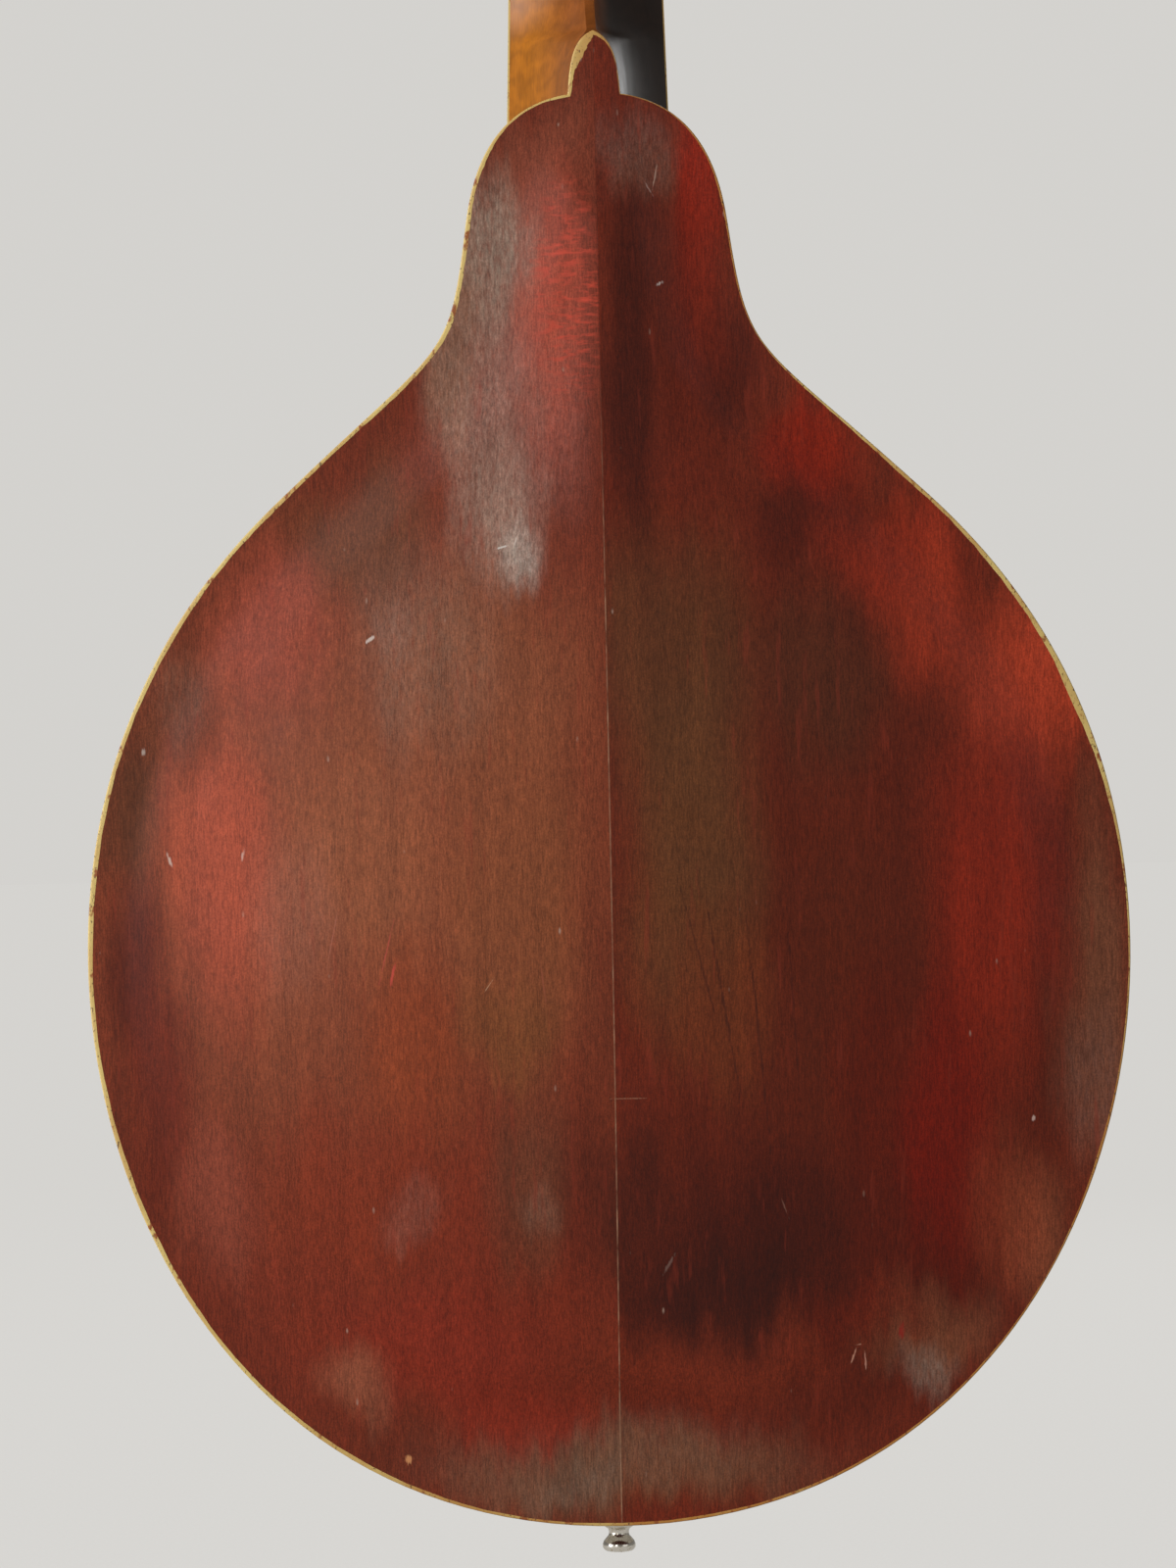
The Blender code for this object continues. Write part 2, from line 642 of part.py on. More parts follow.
def fingerboard_riser():
    # The wedge between the carved top and the part of the fingerboard over the body
    rings = []
    for i in range(7):
        s = JOINT_DISTANCE - 0.002 + (BOARD_END - JOINT_DISTANCE) * i / 6
        z = -s * cos(NECK_PITCH)
        glue_y = s * sin(NECK_PITCH) - GAP
        half = JOINT_HALF_WIDTH - 0.003
        under = [Vector((half * k / 2, top_surface(half * k / 2, z - TAIL_Z) + CARVED_GAP, z))
                 for k in (-2, -1, 0, 1, 2)]
        rings.append(under + [Vector((half, glue_y, z)), Vector((-half, glue_y, z))])
    riser = loft("fingerboard_riser", rings, "amber_neck_wood")
    body_inside = flat_piece("body_inside", [BODY_LOOP], CUTTER_DEPTH, None, in_body(0.0), cutters)
    hide_cutter(body_inside)
    combine(riser, body_inside, "INTERSECT")


fingerboard_riser()

# Strings, named from the bass pair to the treble pair

COURSES = (("g", 0.00050), ("d", 0.00031), ("a", 0.00019), ("e", 0.00015))    # name and radius
NUT_COURSE_STEP = 0.0078
NUT_PAIR_STEP = 0.0022
SADDLE_COURSE_STEP = 0.0132
SADDLE_PAIR_STEP = 0.0030
NUT_STRING_HEIGHT = 0.0064         # underside of the strings over the glue plane
SADDLE_STRING_HEIGHT = 0.0094
SLOT_CLEARANCE = 0.0003


def string_places():
    # Name, radius, side and place among its side's posts for each string
    places = []
    for number in range(8):
        course, radius = COURSES[number // 2]
        at_nut = (1.5 - number // 2) * NUT_COURSE_STEP + (0.5 - number % 2) * NUT_PAIR_STEP
        at_saddle = (1.5 - number // 2) * SADDLE_COURSE_STEP + (0.5 - number % 2) * SADDLE_PAIR_STEP
        bass_side = number < 4
        row = number if bass_side else 7 - number
        places.append((number + 1, course, radius, at_nut, at_saddle, 1 if bass_side else -1, row))
    return places


STRINGS = string_places()


def nut():
    # Front view of the nut with a slot for each string
    half = NUT_HALF_WIDTH - 0.0003
    crown = NUT_STRING_HEIGHT + 0.0004
    loop = [(-half, GAP), (half, GAP), (half, crown - 0.0012), (half - 0.0008, crown)]
    for number, course, radius, x, *_ in STRINGS:
        gap = radius + SLOT_CLEARANCE
        floor = NUT_STRING_HEIGHT - SLOT_CLEARANCE
        loop += [(x + gap, crown), (x + gap, floor), (x - gap, floor), (x - gap, crown)]
    loop += [(-half + 0.0008, crown), (-half, crown - 0.0012)]
    upright = frame_of(NECK_ALONG * (-NUT_THICKNESS / 2), NECK_FRONT, -NECK_ALONG)
    flat_piece("nut", [loop], NUT_THICKNESS - 2 * GAP, "bone", upright)


nut()


# Bridge

BRIDGE_HALF_LENGTH = 0.0560
SADDLE_HALF_LENGTH = 0.0255
BRIDGE_Z = -SCALE_LENGTH * cos(NECK_PITCH) + SADDLE_STRING_HEIGHT * sin(NECK_PITCH)
SADDLE_Y = SCALE_LENGTH * sin(NECK_PITCH) + SADDLE_STRING_HEIGHT * cos(NECK_PITCH) - GAP
FOOT_DEPTH = 0.0095
SADDLE_DEPTH = 0.0030


def bridge():
    # Columns from one foot to the other: fitted feet, two open arches and a narrow saddle on top
    rings = []
    for i in range(-14, 15):
        x = BRIDGE_HALF_LENGTH * i / 14
        reach = abs(x)
        floor = top_surface(x, BRIDGE_Z - TAIL_Z)
        arched = sin(pi * min(max((reach - 0.008) / 0.028, 0.0), 1.0))
        under = floor + CARVED_GAP + 0.0034 * arched
        shoulder = floor + 0.0042 + 0.0038 * (1 - smoothstep((reach - 0.030) / 0.026))
        crown = SADDLE_Y + (shoulder - SADDLE_Y) * smoothstep((reach - SADDLE_HALF_LENGTH) / 0.008)
        narrow = (crown - shoulder) / (SADDLE_Y - shoulder)
        top_half = FOOT_DEPTH / 2 * 0.75 + (SADDLE_DEPTH - FOOT_DEPTH * 0.75) / 2 * narrow
        column = ((under, -FOOT_DEPTH / 2), (under, FOOT_DEPTH / 2), (shoulder, FOOT_DEPTH * 0.38),
                  (crown, top_half), (crown, -top_half), (shoulder, -FOOT_DEPTH * 0.38))
        rings.append([Vector((x, y, BRIDGE_Z + z)) for y, z in column])
    loft("bridge", rings, "ebony")


bridge()


# Tailpiece and end pin

TAILPIECE_HALF_WIDTH = 0.0162
SHEET = 0.0010                     # metal thickness of the tailpiece
TAILPIECE_SLOPE = 0.127            # rise towards the bridge
TAILPIECE_START = 0.0050           # above the tail, where the slope starts
TAILPIECE_START_Y = TOP_EDGE_Y + 0.0012
TAILPIECE_REACH = 0.0340           # its length along the slope
TAILPIECE_DROP = 0.0290            # the leg down the rim
HOOK_PLACE = 0.0110                # along the slope
HOOK_STEP = 0.0037
HOOK_HEIGHT = 0.0030
HOOK_RADIUS = 0.0007
COVER_HEIGHT = 0.0078
COVER_SHEET = 0.0008
# The cover's height along the slope, as shares of the full height
COVER_PROFILE = ((-0.0040, 0.86), (-0.0015, 0.93), (0.0040, 1.0),
                 (0.0280, 1.0), (0.0340, 0.96), (0.0370, 0.88))

SLOPE_UP = Vector((0.0, TAILPIECE_SLOPE, 1.0)).normalized()
SLOPE_FRONT = Vector((0.0, 1.0, -TAILPIECE_SLOPE)).normalized()
SLOPE_ORIGIN = Vector((0.0, TAILPIECE_START_Y, TAIL_Z + TAILPIECE_START))
SIDE_VIEW = Matrix(((0.0, 0.0, 1.0), (1.0, 0.0, 0.0), (0.0, 1.0, 0.0))).to_4x4()


def on_slope(x, along, height):
    return SLOPE_ORIGIN + SLOPE_UP * along + SLOPE_FRONT * height + Vector((x, 0.0, 0.0))


def tailpiece_base():
    # Side view of the bent plate: a leg down the rim, a rounded bend, then the slope with its hooks
    edge_z = TAIL_Z - GAP
    bend = (TOP_EDGE_Y + 0.0006, edge_z)
    top_end = on_slope(0.0, TAILPIECE_REACH, 0.0)
    start = on_slope(0.0, 0.0, 0.0)
    under = [(TOP_EDGE_Y - TAILPIECE_DROP, edge_z), (bend[0] - 0.0006, edge_z), (bend[0], edge_z + 0.0008),
             (start.y, start.z), (top_end.y, top_end.z)]
    tip = top_end + SLOPE_FRONT * SHEET
    knee = start + SLOPE_FRONT * SHEET
    over = [(tip.y, tip.z), (knee.y, knee.z), (bend[0] + SHEET, edge_z + 0.0004),
            (bend[0] + 0.0003, edge_z - SHEET * 0.8), (bend[0] - 0.0010, edge_z - SHEET),
            (TOP_EDGE_Y - TAILPIECE_DROP, edge_z - SHEET)]
    base = flat_piece("tailpiece_base", [under + over], 2 * TAILPIECE_HALF_WIDTH, "nickel", SIDE_VIEW)
    combine(base, pin_bore, "DIFFERENCE")
    upright = SLOPE_FRONT.to_track_quat("Z", "Y").to_matrix().to_4x4()
    for i in range(8):
        middle = on_slope((3.5 - i) * HOOK_STEP, HOOK_PLACE, SHEET * 0.75 + HOOK_HEIGHT / 2)
        hook = rod(f"hook_{i + 1}", HOOK_RADIUS, HOOK_HEIGHT + SHEET / 2, 6,
                   Matrix.Translation(middle) @ upright)
        combine(base, hook, "UNION")


tailpiece_base()


def tailpiece_cover():
    # A bent sheet shell, open below and at both ends, that slides along the slope
    rings = []
    half_width = TAILPIECE_HALF_WIDTH + 2 * GAP + COVER_SHEET
    for along, height in COVER_PROFILE:
        outer, inner = [], []
        for k in range(13):
            turn = pi * k / 12
            across = (abs(cos(turn)) ** 0.5) * (1 if k < 6 else -1)
            rise = sin(turn) ** 0.8 if 0 < k < 12 else 0.0
            outer.append((half_width * across, COVER_HEIGHT * height * rise))
            inner.append(((half_width - COVER_SHEET) * across,
                          (COVER_HEIGHT * height - COVER_SHEET) * rise))
        rings.append([on_slope(x, along, rise) for x, rise in outer + inner[::-1]])
    loft("tailpiece_cover", rings, "nickel")


tailpiece_cover()


def end_pin():
    # A turned pin: a shank in the tail block and a waisted knob outside
    profile = [(0.0, PIN_LENGTH), (PIN_SHANK, PIN_LENGTH)] + list(PIN_KNOB) + [(0.0, PIN_KNOB[-1][1])]
    curve = bmesh.new()
    verts = [curve.verts.new((radius, 0.0, height)) for radius, height in profile]
    for low, high in zip(verts, verts[1:]):
        curve.edges.new((low, high))
    mesh = bpy.data.meshes.new("end_pin")
    curve.to_mesh(mesh)
    curve.free()
    pin = add_object("end_pin", mesh, "nickel", Matrix.Translation((0.0, END_PIN_Y, TAIL_Z - GAP)))
    turn = pin.modifiers.new("turned", "SCREW")
    turn.steps = 12
    turn.render_steps = 12
    turn.use_merge_vertices = True
    turn.merge_threshold = 0.00001


end_pin()


# Tuners: two plates, and for each string a worm with its button and a post with its worm wheel

POST_FIRST = (0.0185, 0.0360)      # first post: away from the centre line, and up from the nut
POST_STEP = 0.0232
PLATE_SPLAY = radians(3.3)
POST_RADIUS = 0.0030
POST_WAIST = 0.0024
POST_BORE = 0.0034
POST_ABOVE = 0.0115                # the post's height over the veneer
PLATE_SHEET = 0.0010
PLATE_HALF_WIDTH = 0.0062
PLATE_BELOW = 0.0110
PLATE_ABOVE = 0.0830

THREAD_PITCH = 0.0020
THREAD_STEPS = 8                   # sides of the worm
THREAD_TURNS = 3
THREAD_ROOT = 0.00155
THREAD_CREST = 0.00270
THREAD_PROFILE = ((0.20, THREAD_ROOT), (0.375, THREAD_CREST),
                  (0.625, THREAD_CREST), (0.80, THREAD_ROOT))    # part of the pitch, and radius
WORM_PITCH_RADIUS = 0.0022
SHAFT_RADIUS = 0.0013
SHAFT_INNER_END = -0.0062
SHAFT_OUTER_END = 0.0226
WORM_HEIGHT = 0.0044               # the worm's axis over the back of the headstock
WHEEL_TEETH = 14
WHEEL_PITCH_RADIUS = WHEEL_TEETH * THREAD_PITCH / (2 * pi)
WHEEL_TIP = WHEEL_PITCH_RADIUS + 0.0005
WHEEL_ROOT = WHEEL_PITCH_RADIUS - 0.00065
WHEEL_HALF_WIDTH = 0.0014
TOOTH_TIP_HALF = 0.00022
TOOTH_ROOT_HALF = 0.00056
CENTRE_DISTANCE = WORM_PITCH_RADIUS + WHEEL_PITCH_RADIUS
LEAD_SLOPE = THREAD_PITCH / (2 * pi * WORM_PITCH_RADIUS)
TAB_PLACE = 0.0047                 # bearing tabs on both sides of the worm
TAB_SHEET = 0.0011
TAB_WIDTH = 0.0054
BUTTON_START = 0.0150
BUTTON_BORE = 0.0080
# A tuner button's height from its collar, half width and half thickness
BUTTON_SECTIONS = ((0.0, 0.0026, 0.0024), (0.0014, 0.0030, 0.0026), (0.0044, 0.0050, 0.0030),
                   (0.0068, 0.0053, 0.0031), (0.0096, 0.0043, 0.0027), (0.0118, 0.0020, 0.0014))

REARWARD = -HEAD_FRONT


def axes_at(origin, x_axis, z_axis):
    y_axis = z_axis.cross(x_axis)
    return Matrix.Translation(origin) @ Matrix((x_axis, y_axis, z_axis)).transposed().to_4x4()


def tuner_axes(side):
    # Along the plate towards the crown, and outward from the headstock
    up, across = -HEAD_ALONG, Vector((side, 0.0, 0.0))
    return (up * cos(PLATE_SPLAY) + across * sin(PLATE_SPLAY),
            across * cos(PLATE_SPLAY) - up * sin(PLATE_SPLAY))


def post_place(side, row):
    x = POST_FIRST[0] + row * POST_STEP * sin(PLATE_SPLAY)
    return side * x, POST_FIRST[1] + row * POST_STEP * cos(PLATE_SPLAY)


def post_matrix(side, row):
    # Origin on the back of the headstock, X towards the worm and Z rearward
    x, up = post_place(side, row)
    return axes_at(HEAD_FRAME @ Vector((x, -up, -HEAD_THICKNESS)), tuner_axes(side)[0], REARWARD)


def worm_matrix(side, row):
    # Origin at the middle of the thread, X towards the wheel and Z out to the button
    along, outward = tuner_axes(side)
    origin = post_matrix(side, row).translation + along * CENTRE_DISTANCE + REARWARD * WORM_HEIGHT
    return axes_at(origin, -along, outward)


def post_bores():
    bm = bmesh.new()
    for side in (1, -1):
        for row in range(4):
            x, up = post_place(side, row)
            place = Matrix.Translation((x, -up, -HEAD_THICKNESS / 2))
            bmesh.ops.create_cone(bm, cap_ends=True, segments=10, radius1=POST_BORE, radius2=POST_BORE,
                                  depth=HEAD_THICKNESS * 2, matrix=place)
    bores = add_object("post_bores", mesh_of(bm, "post_bores"), None, HEAD_FRAME, cutters)
    hide_cutter(bores)
    return bores


combine(neck, post_bores(), "DIFFERENCE")


def headstock_veneer():
    edge = [(half - GAP, -up) for half, up in head_half() if up > 0.001 and half > 0.001]
    base = [(NUT_HALF_WIDTH, -0.0008)]
    top = [(0.0, -HEAD_LENGTH + GAP)]
    loop = base + edge + top + [(-x, y) for x, y in (base + edge)[::-1]]
    places = [post_place(side, row) for side in (1, -1) for row in range(4)]
    holes = [circle(x, -up, POST_BORE, 10) for x, up in places]
    flat_piece("headstock_veneer", [loop] + holes, VENEER - GAP, "ebony",
               HEAD_FRAME @ Matrix.Translation((0.0, 0.0, (VENEER + GAP) / 2)))


headstock_veneer()


def rounded_rectangle(x0, y0, x1, y1, radius, steps=2):
    loop = []
    corners = ((x1 - radius, y0 + radius, -90), (x1 - radius, y1 - radius, 0),
               (x0 + radius, y1 - radius, 90), (x0 + radius, y0 + radius, 180))
    for x, y, start in corners:
        for i in range(steps + 1):
            turn = radians(start + 90 * i / steps)
            loop.append((x + radius * cos(turn), y + radius * sin(turn)))
    return loop


def tuner_plate(side, word):
    # A strip with four post holes and a pair of bearing tabs for each worm
    along = tuner_axes(side)[0]
    frame = axes_at(post_matrix(side, 0).translation, along.cross(REARWARD), REARWARD)
    loops = [rounded_rectangle(-PLATE_HALF_WIDTH, -PLATE_BELOW, PLATE_HALF_WIDTH, PLATE_ABOVE, 0.004)]
    loops += [circle(0.0, row * POST_STEP, POST_BORE, 10) for row in range(4)]
    plate = flat_piece(f"tuner_plate_{word}", loops, PLATE_SHEET, "nickel",
                       frame @ Matrix.Translation((0.0, 0.0, GAP + PLATE_SHEET / 2)))
    for row in range(4):
        middle = row * POST_STEP + CENTRE_DISTANCE
        for end in (-1, 1):
            low, high = GAP + PLATE_SHEET / 2, WORM_HEIGHT + TAB_WIDTH / 2
            tab = block(f"tab_{word}_{row}_{end}", (TAB_SHEET, TAB_WIDTH, high - low),
                        frame @ Matrix.Translation((end * TAB_PLACE, middle, (low + high) / 2)))
            combine(plate, tab, "UNION")
        bore = rod(f"shaft_bore_{word}_{row}", SHAFT_RADIUS + GAP, 0.020, 8, worm_matrix(side, row))
        combine(plate, bore, "DIFFERENCE")


def worm_mesh():
    # A true helical thread on its shaft, centred on a crest that faces local +X
    bm = bmesh.new()
    steps, total = THREAD_STEPS, THREAD_STEPS * THREAD_TURNS
    thread = []
    for j in range(total + 1):
        turn = 2 * pi * (j / steps - THREAD_TURNS / 2)
        base = THREAD_PITCH * (turn / (2 * pi) - 0.5)
        thread.append([bm.verts.new((radius * cos(turn), radius * sin(turn), base + part * THREAD_PITCH))
                       for part, radius in THREAD_PROFILE])
    for j in range(total):
        for low, high in ((0, 1), (1, 2), (2, 3)):
            bm.faces.new((thread[j][low], thread[j + 1][low], thread[j + 1][high], thread[j][high]))
    for j in range(total - steps):
        bm.faces.new((thread[j][3], thread[j + 1][3], thread[j + steps + 1][0], thread[j + steps][0]))
    half = THREAD_PITCH * (THREAD_TURNS / 2 + 0.3) + 0.00015

    def ring(radius, z):
        turns = [2 * pi * (i / steps - THREAD_TURNS / 2) for i in range(steps)]
        return [bm.verts.new((radius * cos(turn), radius * sin(turn), z)) for turn in turns]

    low, high = ring(THREAD_ROOT, -half), ring(THREAD_ROOT, half)
    last = total - steps
    for i in range(steps - 1):
        bm.faces.new((low[i], low[i + 1], thread[i + 1][0], thread[i][0]))
    for i in range(1, steps):
        bm.faces.new((thread[last + i][3], thread[last + i + 1][3], high[(i + 1) % steps], high[i]))
    bm.faces.new((low[-1], low[0], thread[0][0], thread[steps][0], thread[steps - 1][0]))
    bm.faces.new((thread[last][3], thread[last + 1][3], high[1], high[0], thread[total][3]))
    bm.faces.new((thread[0][0], thread[0][1], thread[0][2], thread[0][3], thread[steps][0]))
    bm.faces.new((thread[last][3], thread[total][0], thread[total][1], thread[total][2], thread[total][3]))
    for near, end in ((low, SHAFT_INNER_END), (high, SHAFT_OUTER_END)):
        shoulder, tip = ring(SHAFT_RADIUS, near[0].co.z), ring(SHAFT_RADIUS, end)
        for first, second in ((near, shoulder), (shoulder, tip)):
            for i in range(steps):
                j = (i + 1) % steps
                bm.faces.new((first[i], first[j], second[j], second[i]))
        bm.faces.new(tip)
    return mesh_of(bm, "worm", 0.9)


def wheel_ring(z, twist):
    # The teeth in one plane, turned by the lead of the thread
    ring = []
    for tooth in range(WHEEL_TEETH):
        middle = 2 * pi * (tooth + 0.5) / WHEEL_TEETH + twist
        for radius, half in ((WHEEL_ROOT, -TOOTH_ROOT_HALF), (WHEEL_TIP, -TOOTH_TIP_HALF),
                             (WHEEL_TIP, TOOTH_TIP_HALF), (WHEEL_ROOT, TOOTH_ROOT_HALF)):
            turn = middle + half / radius
            ring.append(Vector((radius * cos(turn), radius * sin(turn), z)))
    return ring


def turned_rings(profile, sides):
    return [[Vector((radius * cos(2 * pi * i / sides), radius * sin(2 * pi * i / sides), z))
             for i in range(sides)] for z, radius in profile]


def string_post(name, matrix, wheel):
    # The post from its rear end through the headstock to its capped front end
    face = -(HEAD_THICKNESS + VENEER)
    profile = ((0.0070, 0.0016), (0.0064, POST_WAIST), (0.0050, POST_RADIUS), (face - 0.0018, POST_RADIUS),
               (face - 0.0024, POST_WAIST), (face - 0.0094, POST_WAIST), (face - 0.0100, POST_RADIUS),
               (face - POST_ABOVE + 0.0004, POST_RADIUS), (face - POST_ABOVE, POST_WAIST))
    post = loft(name, turned_rings(profile, 8), "brass", matrix)
    union = wheel.copy()
    union.matrix_world = matrix
    cutters.objects.link(union)
    combine(post, union, "UNION")
    return post


def button_mesh():
    # An oval button with a blind bore for the shaft
    bore = SHAFT_RADIUS + GAP
    outline = ((BUTTON_BORE, bore, bore), (0.0, bore, bore)) + BUTTON_SECTIONS
    bm = bmesh.new()
    sides = 10
    turns = [2 * pi * i / sides for i in range(sides)]
    loops = [[bm.verts.new((thick * cos(turn), wide * sin(turn), BUTTON_START + z)) for turn in turns]
             for z, wide, thick in outline]
    for low, high in zip(loops, loops[1:]):
        for i in range(sides):
            j = (i + 1) % sides
            bm.faces.new((low[i], low[j], high[j], high[i]))
    bm.faces.new(loops[0])
    bm.faces.new(loops[-1])
    return mesh_of(bm, "button", 0.9)


wheel_twist = LEAD_SLOPE * WHEEL_HALF_WIDTH / WHEEL_PITCH_RADIUS
wheel = loft("worm_wheel", [wheel_ring(WORM_HEIGHT - WHEEL_HALF_WIDTH, -wheel_twist),
                            wheel_ring(WORM_HEIGHT + WHEEL_HALF_WIDTH, wheel_twist)], None, None, cutters)
hide_cutter(wheel)
shared_worm = worm_mesh()
shared_button = button_mesh()
tuner_plate(1, "bass")
tuner_plate(-1, "treble")
for number, course, radius, at_nut, at_saddle, side, row in STRINGS:
    string_post(f"post_{number}", post_matrix(side, row), wheel)
    add_object(f"worm_{number}", shared_worm, "brass", worm_matrix(side, row))
    add_object(f"button_{number}", shared_button, "cream_binding", worm_matrix(side, row))


# Strings: a loop on the hook, over the saddle and the nut, and wound on the post

TURN_POINTS = 8
WINDINGS = 2.5
WINDING_GAP = 0.00045
LOOP_WIRE = 0.0002                 # the core wire's radius in the loop
WIND_START = 0.0034                # height of the first turn over the veneer


def winding(start, post, radius, height):
    # Points round a post in the headstock's plane, from the tangent nearest the centre line
    centre = Vector(post)
    away = Vector(start) - centre
    reach = POST_WAIST + radius + GAP
    spread = Vector((reach / away.length, (1 - (reach / away.length) ** 2) ** 0.5))
    facing = atan2(away.y, away.x)
    options = [facing + sign * atan2(spread.y, spread.x) for sign in (1, -1)]
    first = min(options, key=lambda a: abs(centre.x + reach * cos(a)))
    touch = Vector((cos(first), sin(first)))
    sense = 1 if touch.cross(-away) > 0 else -1
    points = []
    for i in range(int(TURN_POINTS * WINDINGS) + 1):
        turn = first + sense * 2 * pi * i / TURN_POINTS
        points.append((centre.x + reach * cos(turn), centre.y + reach * sin(turn),
                       height + (2 * radius + WINDING_GAP) * i / TURN_POINTS))
    return points


def string_route(radius, at_nut, at_saddle, side, row, number):
    hook_x = (4.5 - number) * HOOK_STEP
    peg = HOOK_RADIUS + GAP + LOOP_WIRE
    route = [on_slope(hook_x + x, HOOK_PLACE + y, SHEET + 0.0014) for x, y in (
        (-0.0006, 0.0052), (-peg, 0.0010), (-0.8 * peg, -0.7 * peg), (0.0, -1.08 * peg),
        (0.8 * peg, -0.7 * peg), (peg, 0.0010), (0.0004, 0.0052))]
    widths = [LOOP_WIRE / radius] * len(route)
    route.append(on_slope(hook_x, HOOK_PLACE + 0.0080, SHEET + 0.0014 + radius))
    route.append(NECK_FRAME @ Vector((at_saddle, SCALE_LENGTH, SADDLE_STRING_HEIGHT + radius)))
    route.append(NECK_FRAME @ Vector((at_nut, 0.0, NUT_STRING_HEIGHT + radius)))
    behind_nut = NECK_FRAME @ Vector((at_nut, -NUT_THICKNESS, NUT_STRING_HEIGHT + radius))
    route.append(behind_nut)
    local = HEAD_FRAME.inverted() @ behind_nut
    x, up = post_place(side, row)
    turns = winding((local.x, local.y), (x, -up), radius, VENEER + WIND_START)
    route += [HEAD_FRAME @ Vector(p) for p in turns]
    return route, widths + [1.0] * (len(route) - len(widths))


def least_gap(points, widths, radius):
    # The smallest clear distance between parts of a string that aren't neighbours
    gap = 1.0
    for i, here in enumerate(points):
        for j in range(i + 3, len(points)):
            gap = min(gap, (points[j] - here).length - radius * (widths[i] + widths[j]))
    return gap


for number, course, radius, at_nut, at_saddle, side, row in STRINGS:
    points, widths = string_route(radius, at_nut, at_saddle, side, row, number)
    curve = bpy.data.curves.new(f"string_{number}", "CURVE")
    curve.dimensions = "3D"
    curve.bevel_depth = radius
    curve.bevel_resolution = 1
    curve.use_fill_caps = True
    spline = curve.splines.new("POLY")
    spline.points.add(len(points) - 1)
    for target, point, width in zip(spline.points, points, widths):
        target.co = (*point, 1.0)
        target.radius = width
    add_object(f"string_{number}", curve, "steel_wire" if course in "ae" else "bronze_wire")
    print(f"string_{number}: least gap to itself {least_gap(points, widths, radius) * 1000:.2f} mm")
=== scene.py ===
# A-style mandolin with a carved two-piece back, for Blender 4.5
# Metres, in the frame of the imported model: +Z towards the headstock, -Y the back, +X the bass side

from math import atan2, cos, hypot, pi, radians, sin

import bmesh
import bpy
import numpy as np
from mathutils import Matrix, Vector
from mathutils.geometry import interpolate_bezier


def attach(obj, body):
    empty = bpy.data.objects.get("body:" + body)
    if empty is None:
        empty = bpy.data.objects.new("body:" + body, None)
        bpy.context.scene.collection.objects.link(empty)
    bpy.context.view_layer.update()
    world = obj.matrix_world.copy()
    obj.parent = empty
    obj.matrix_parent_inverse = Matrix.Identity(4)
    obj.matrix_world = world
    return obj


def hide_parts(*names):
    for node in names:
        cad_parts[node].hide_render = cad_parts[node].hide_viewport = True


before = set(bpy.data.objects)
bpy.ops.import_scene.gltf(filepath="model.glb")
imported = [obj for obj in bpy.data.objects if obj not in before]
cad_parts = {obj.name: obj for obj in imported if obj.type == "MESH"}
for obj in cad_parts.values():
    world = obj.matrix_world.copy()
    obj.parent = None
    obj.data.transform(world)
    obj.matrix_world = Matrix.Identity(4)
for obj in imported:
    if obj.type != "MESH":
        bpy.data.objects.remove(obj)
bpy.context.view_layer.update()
print("frame loaded with", len(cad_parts), "nodes")


# What all pieces share

neck = {
    "scale": 0.3524,            # nut to bridge
    "pitch": radians(5.0),      # the neck leans back from the body
    "headAngle": radians(15.0),
    "joint": 0.1762,            # nut to body, at the 12th fret
    "nutHalf": 0.0155,
    "jointHalf": 0.0205,
    "bareEdge": 0.0004,         # the worn wood stops short of the fingerboard's binding
    "depthAtNut": 0.0140,
    "depthAtHeel": 0.0160,
    "nutThickness": 0.0045,
    "heelStart": 0.122,
    "heelTip": 0.1573,
    "headThickness": 0.0140,
    "veneer": 0.0015,
    "headLength": 0.146,
}

body = {
    # half width, height above the tail, heading in degrees, handle behind, handle ahead
    "knots": ((0.0, 0.0, -90.0, 0.0, 0.0858), (0.1280, 0.1408, 0.0, 0.0680, 0.0699),
              (0.0757, 0.2562, 47.0, 0.0155, 0.0505), (0.0325, 0.3173, 8.0, 0.0317, 0.0099),
              (0.0, 0.3520, 90.0, 0.0284, 0.0)),
    "length": 0.3520,
    "buttonHalf": 0.0065,
    "buttonLength": 0.0152,
    "buttonFlank": (0.0058, 0.0060),       # handles of its ogive, half width and way up from its foot
    "buttonShoulder": (0.0058, 0.0128),
    "buttonFoot": 0.0004,       # the outline turns into it this far out
    "buttonSteps": 26,
    "steps": 44,                # points on each curve of the outline
    "plate": 0.0040,
    "topEdge": 0.0139,
    "backEdge": -0.0321,
    "topArch": 0.0115,
    "backArch": 0.0120,
    "topFullness": 1.25,
    "backFullness": 1.0,
    "recurveStart": 0.004,
    "recurveWidth": 0.020,
    "widestInset": 0.128,
    # how far the crest along the seam is rounded over: height above the tail, rounding
    "ridgeRounding": ((0.10, 0.034), (0.18, 0.020), (0.235, 0.008), (0.275, 0.0025), (0.36, 0.0018)),
    "rim": 0.0020,
    "binding": 0.0012,
    "gap": 0.0003,
    "jointZ": -0.1762 * cos(radians(5.0)),
    "tailZ": -0.1762 * cos(radians(5.0)) - 0.3520,
}


def linear(hexColour):
    # sRGB hex to linear red, green, blue and alpha
    parts = [int(hexColour[i:i + 2], 16) / 255 for i in (1, 3, 5)]
    return tuple(c / 12.92 if c <= 0.04045 else ((c + 0.055) / 1.055) ** 2.4 for c in parts) + (1.0,)


def feed(tree, node, inputs):
    # Links or sets a node's inputs by name or number
    for name, value in inputs.items():
        if isinstance(value, bpy.types.NodeSocket):
            tree.links.new(value, node.inputs[name])
        else:
            node.inputs[name].default_value = value


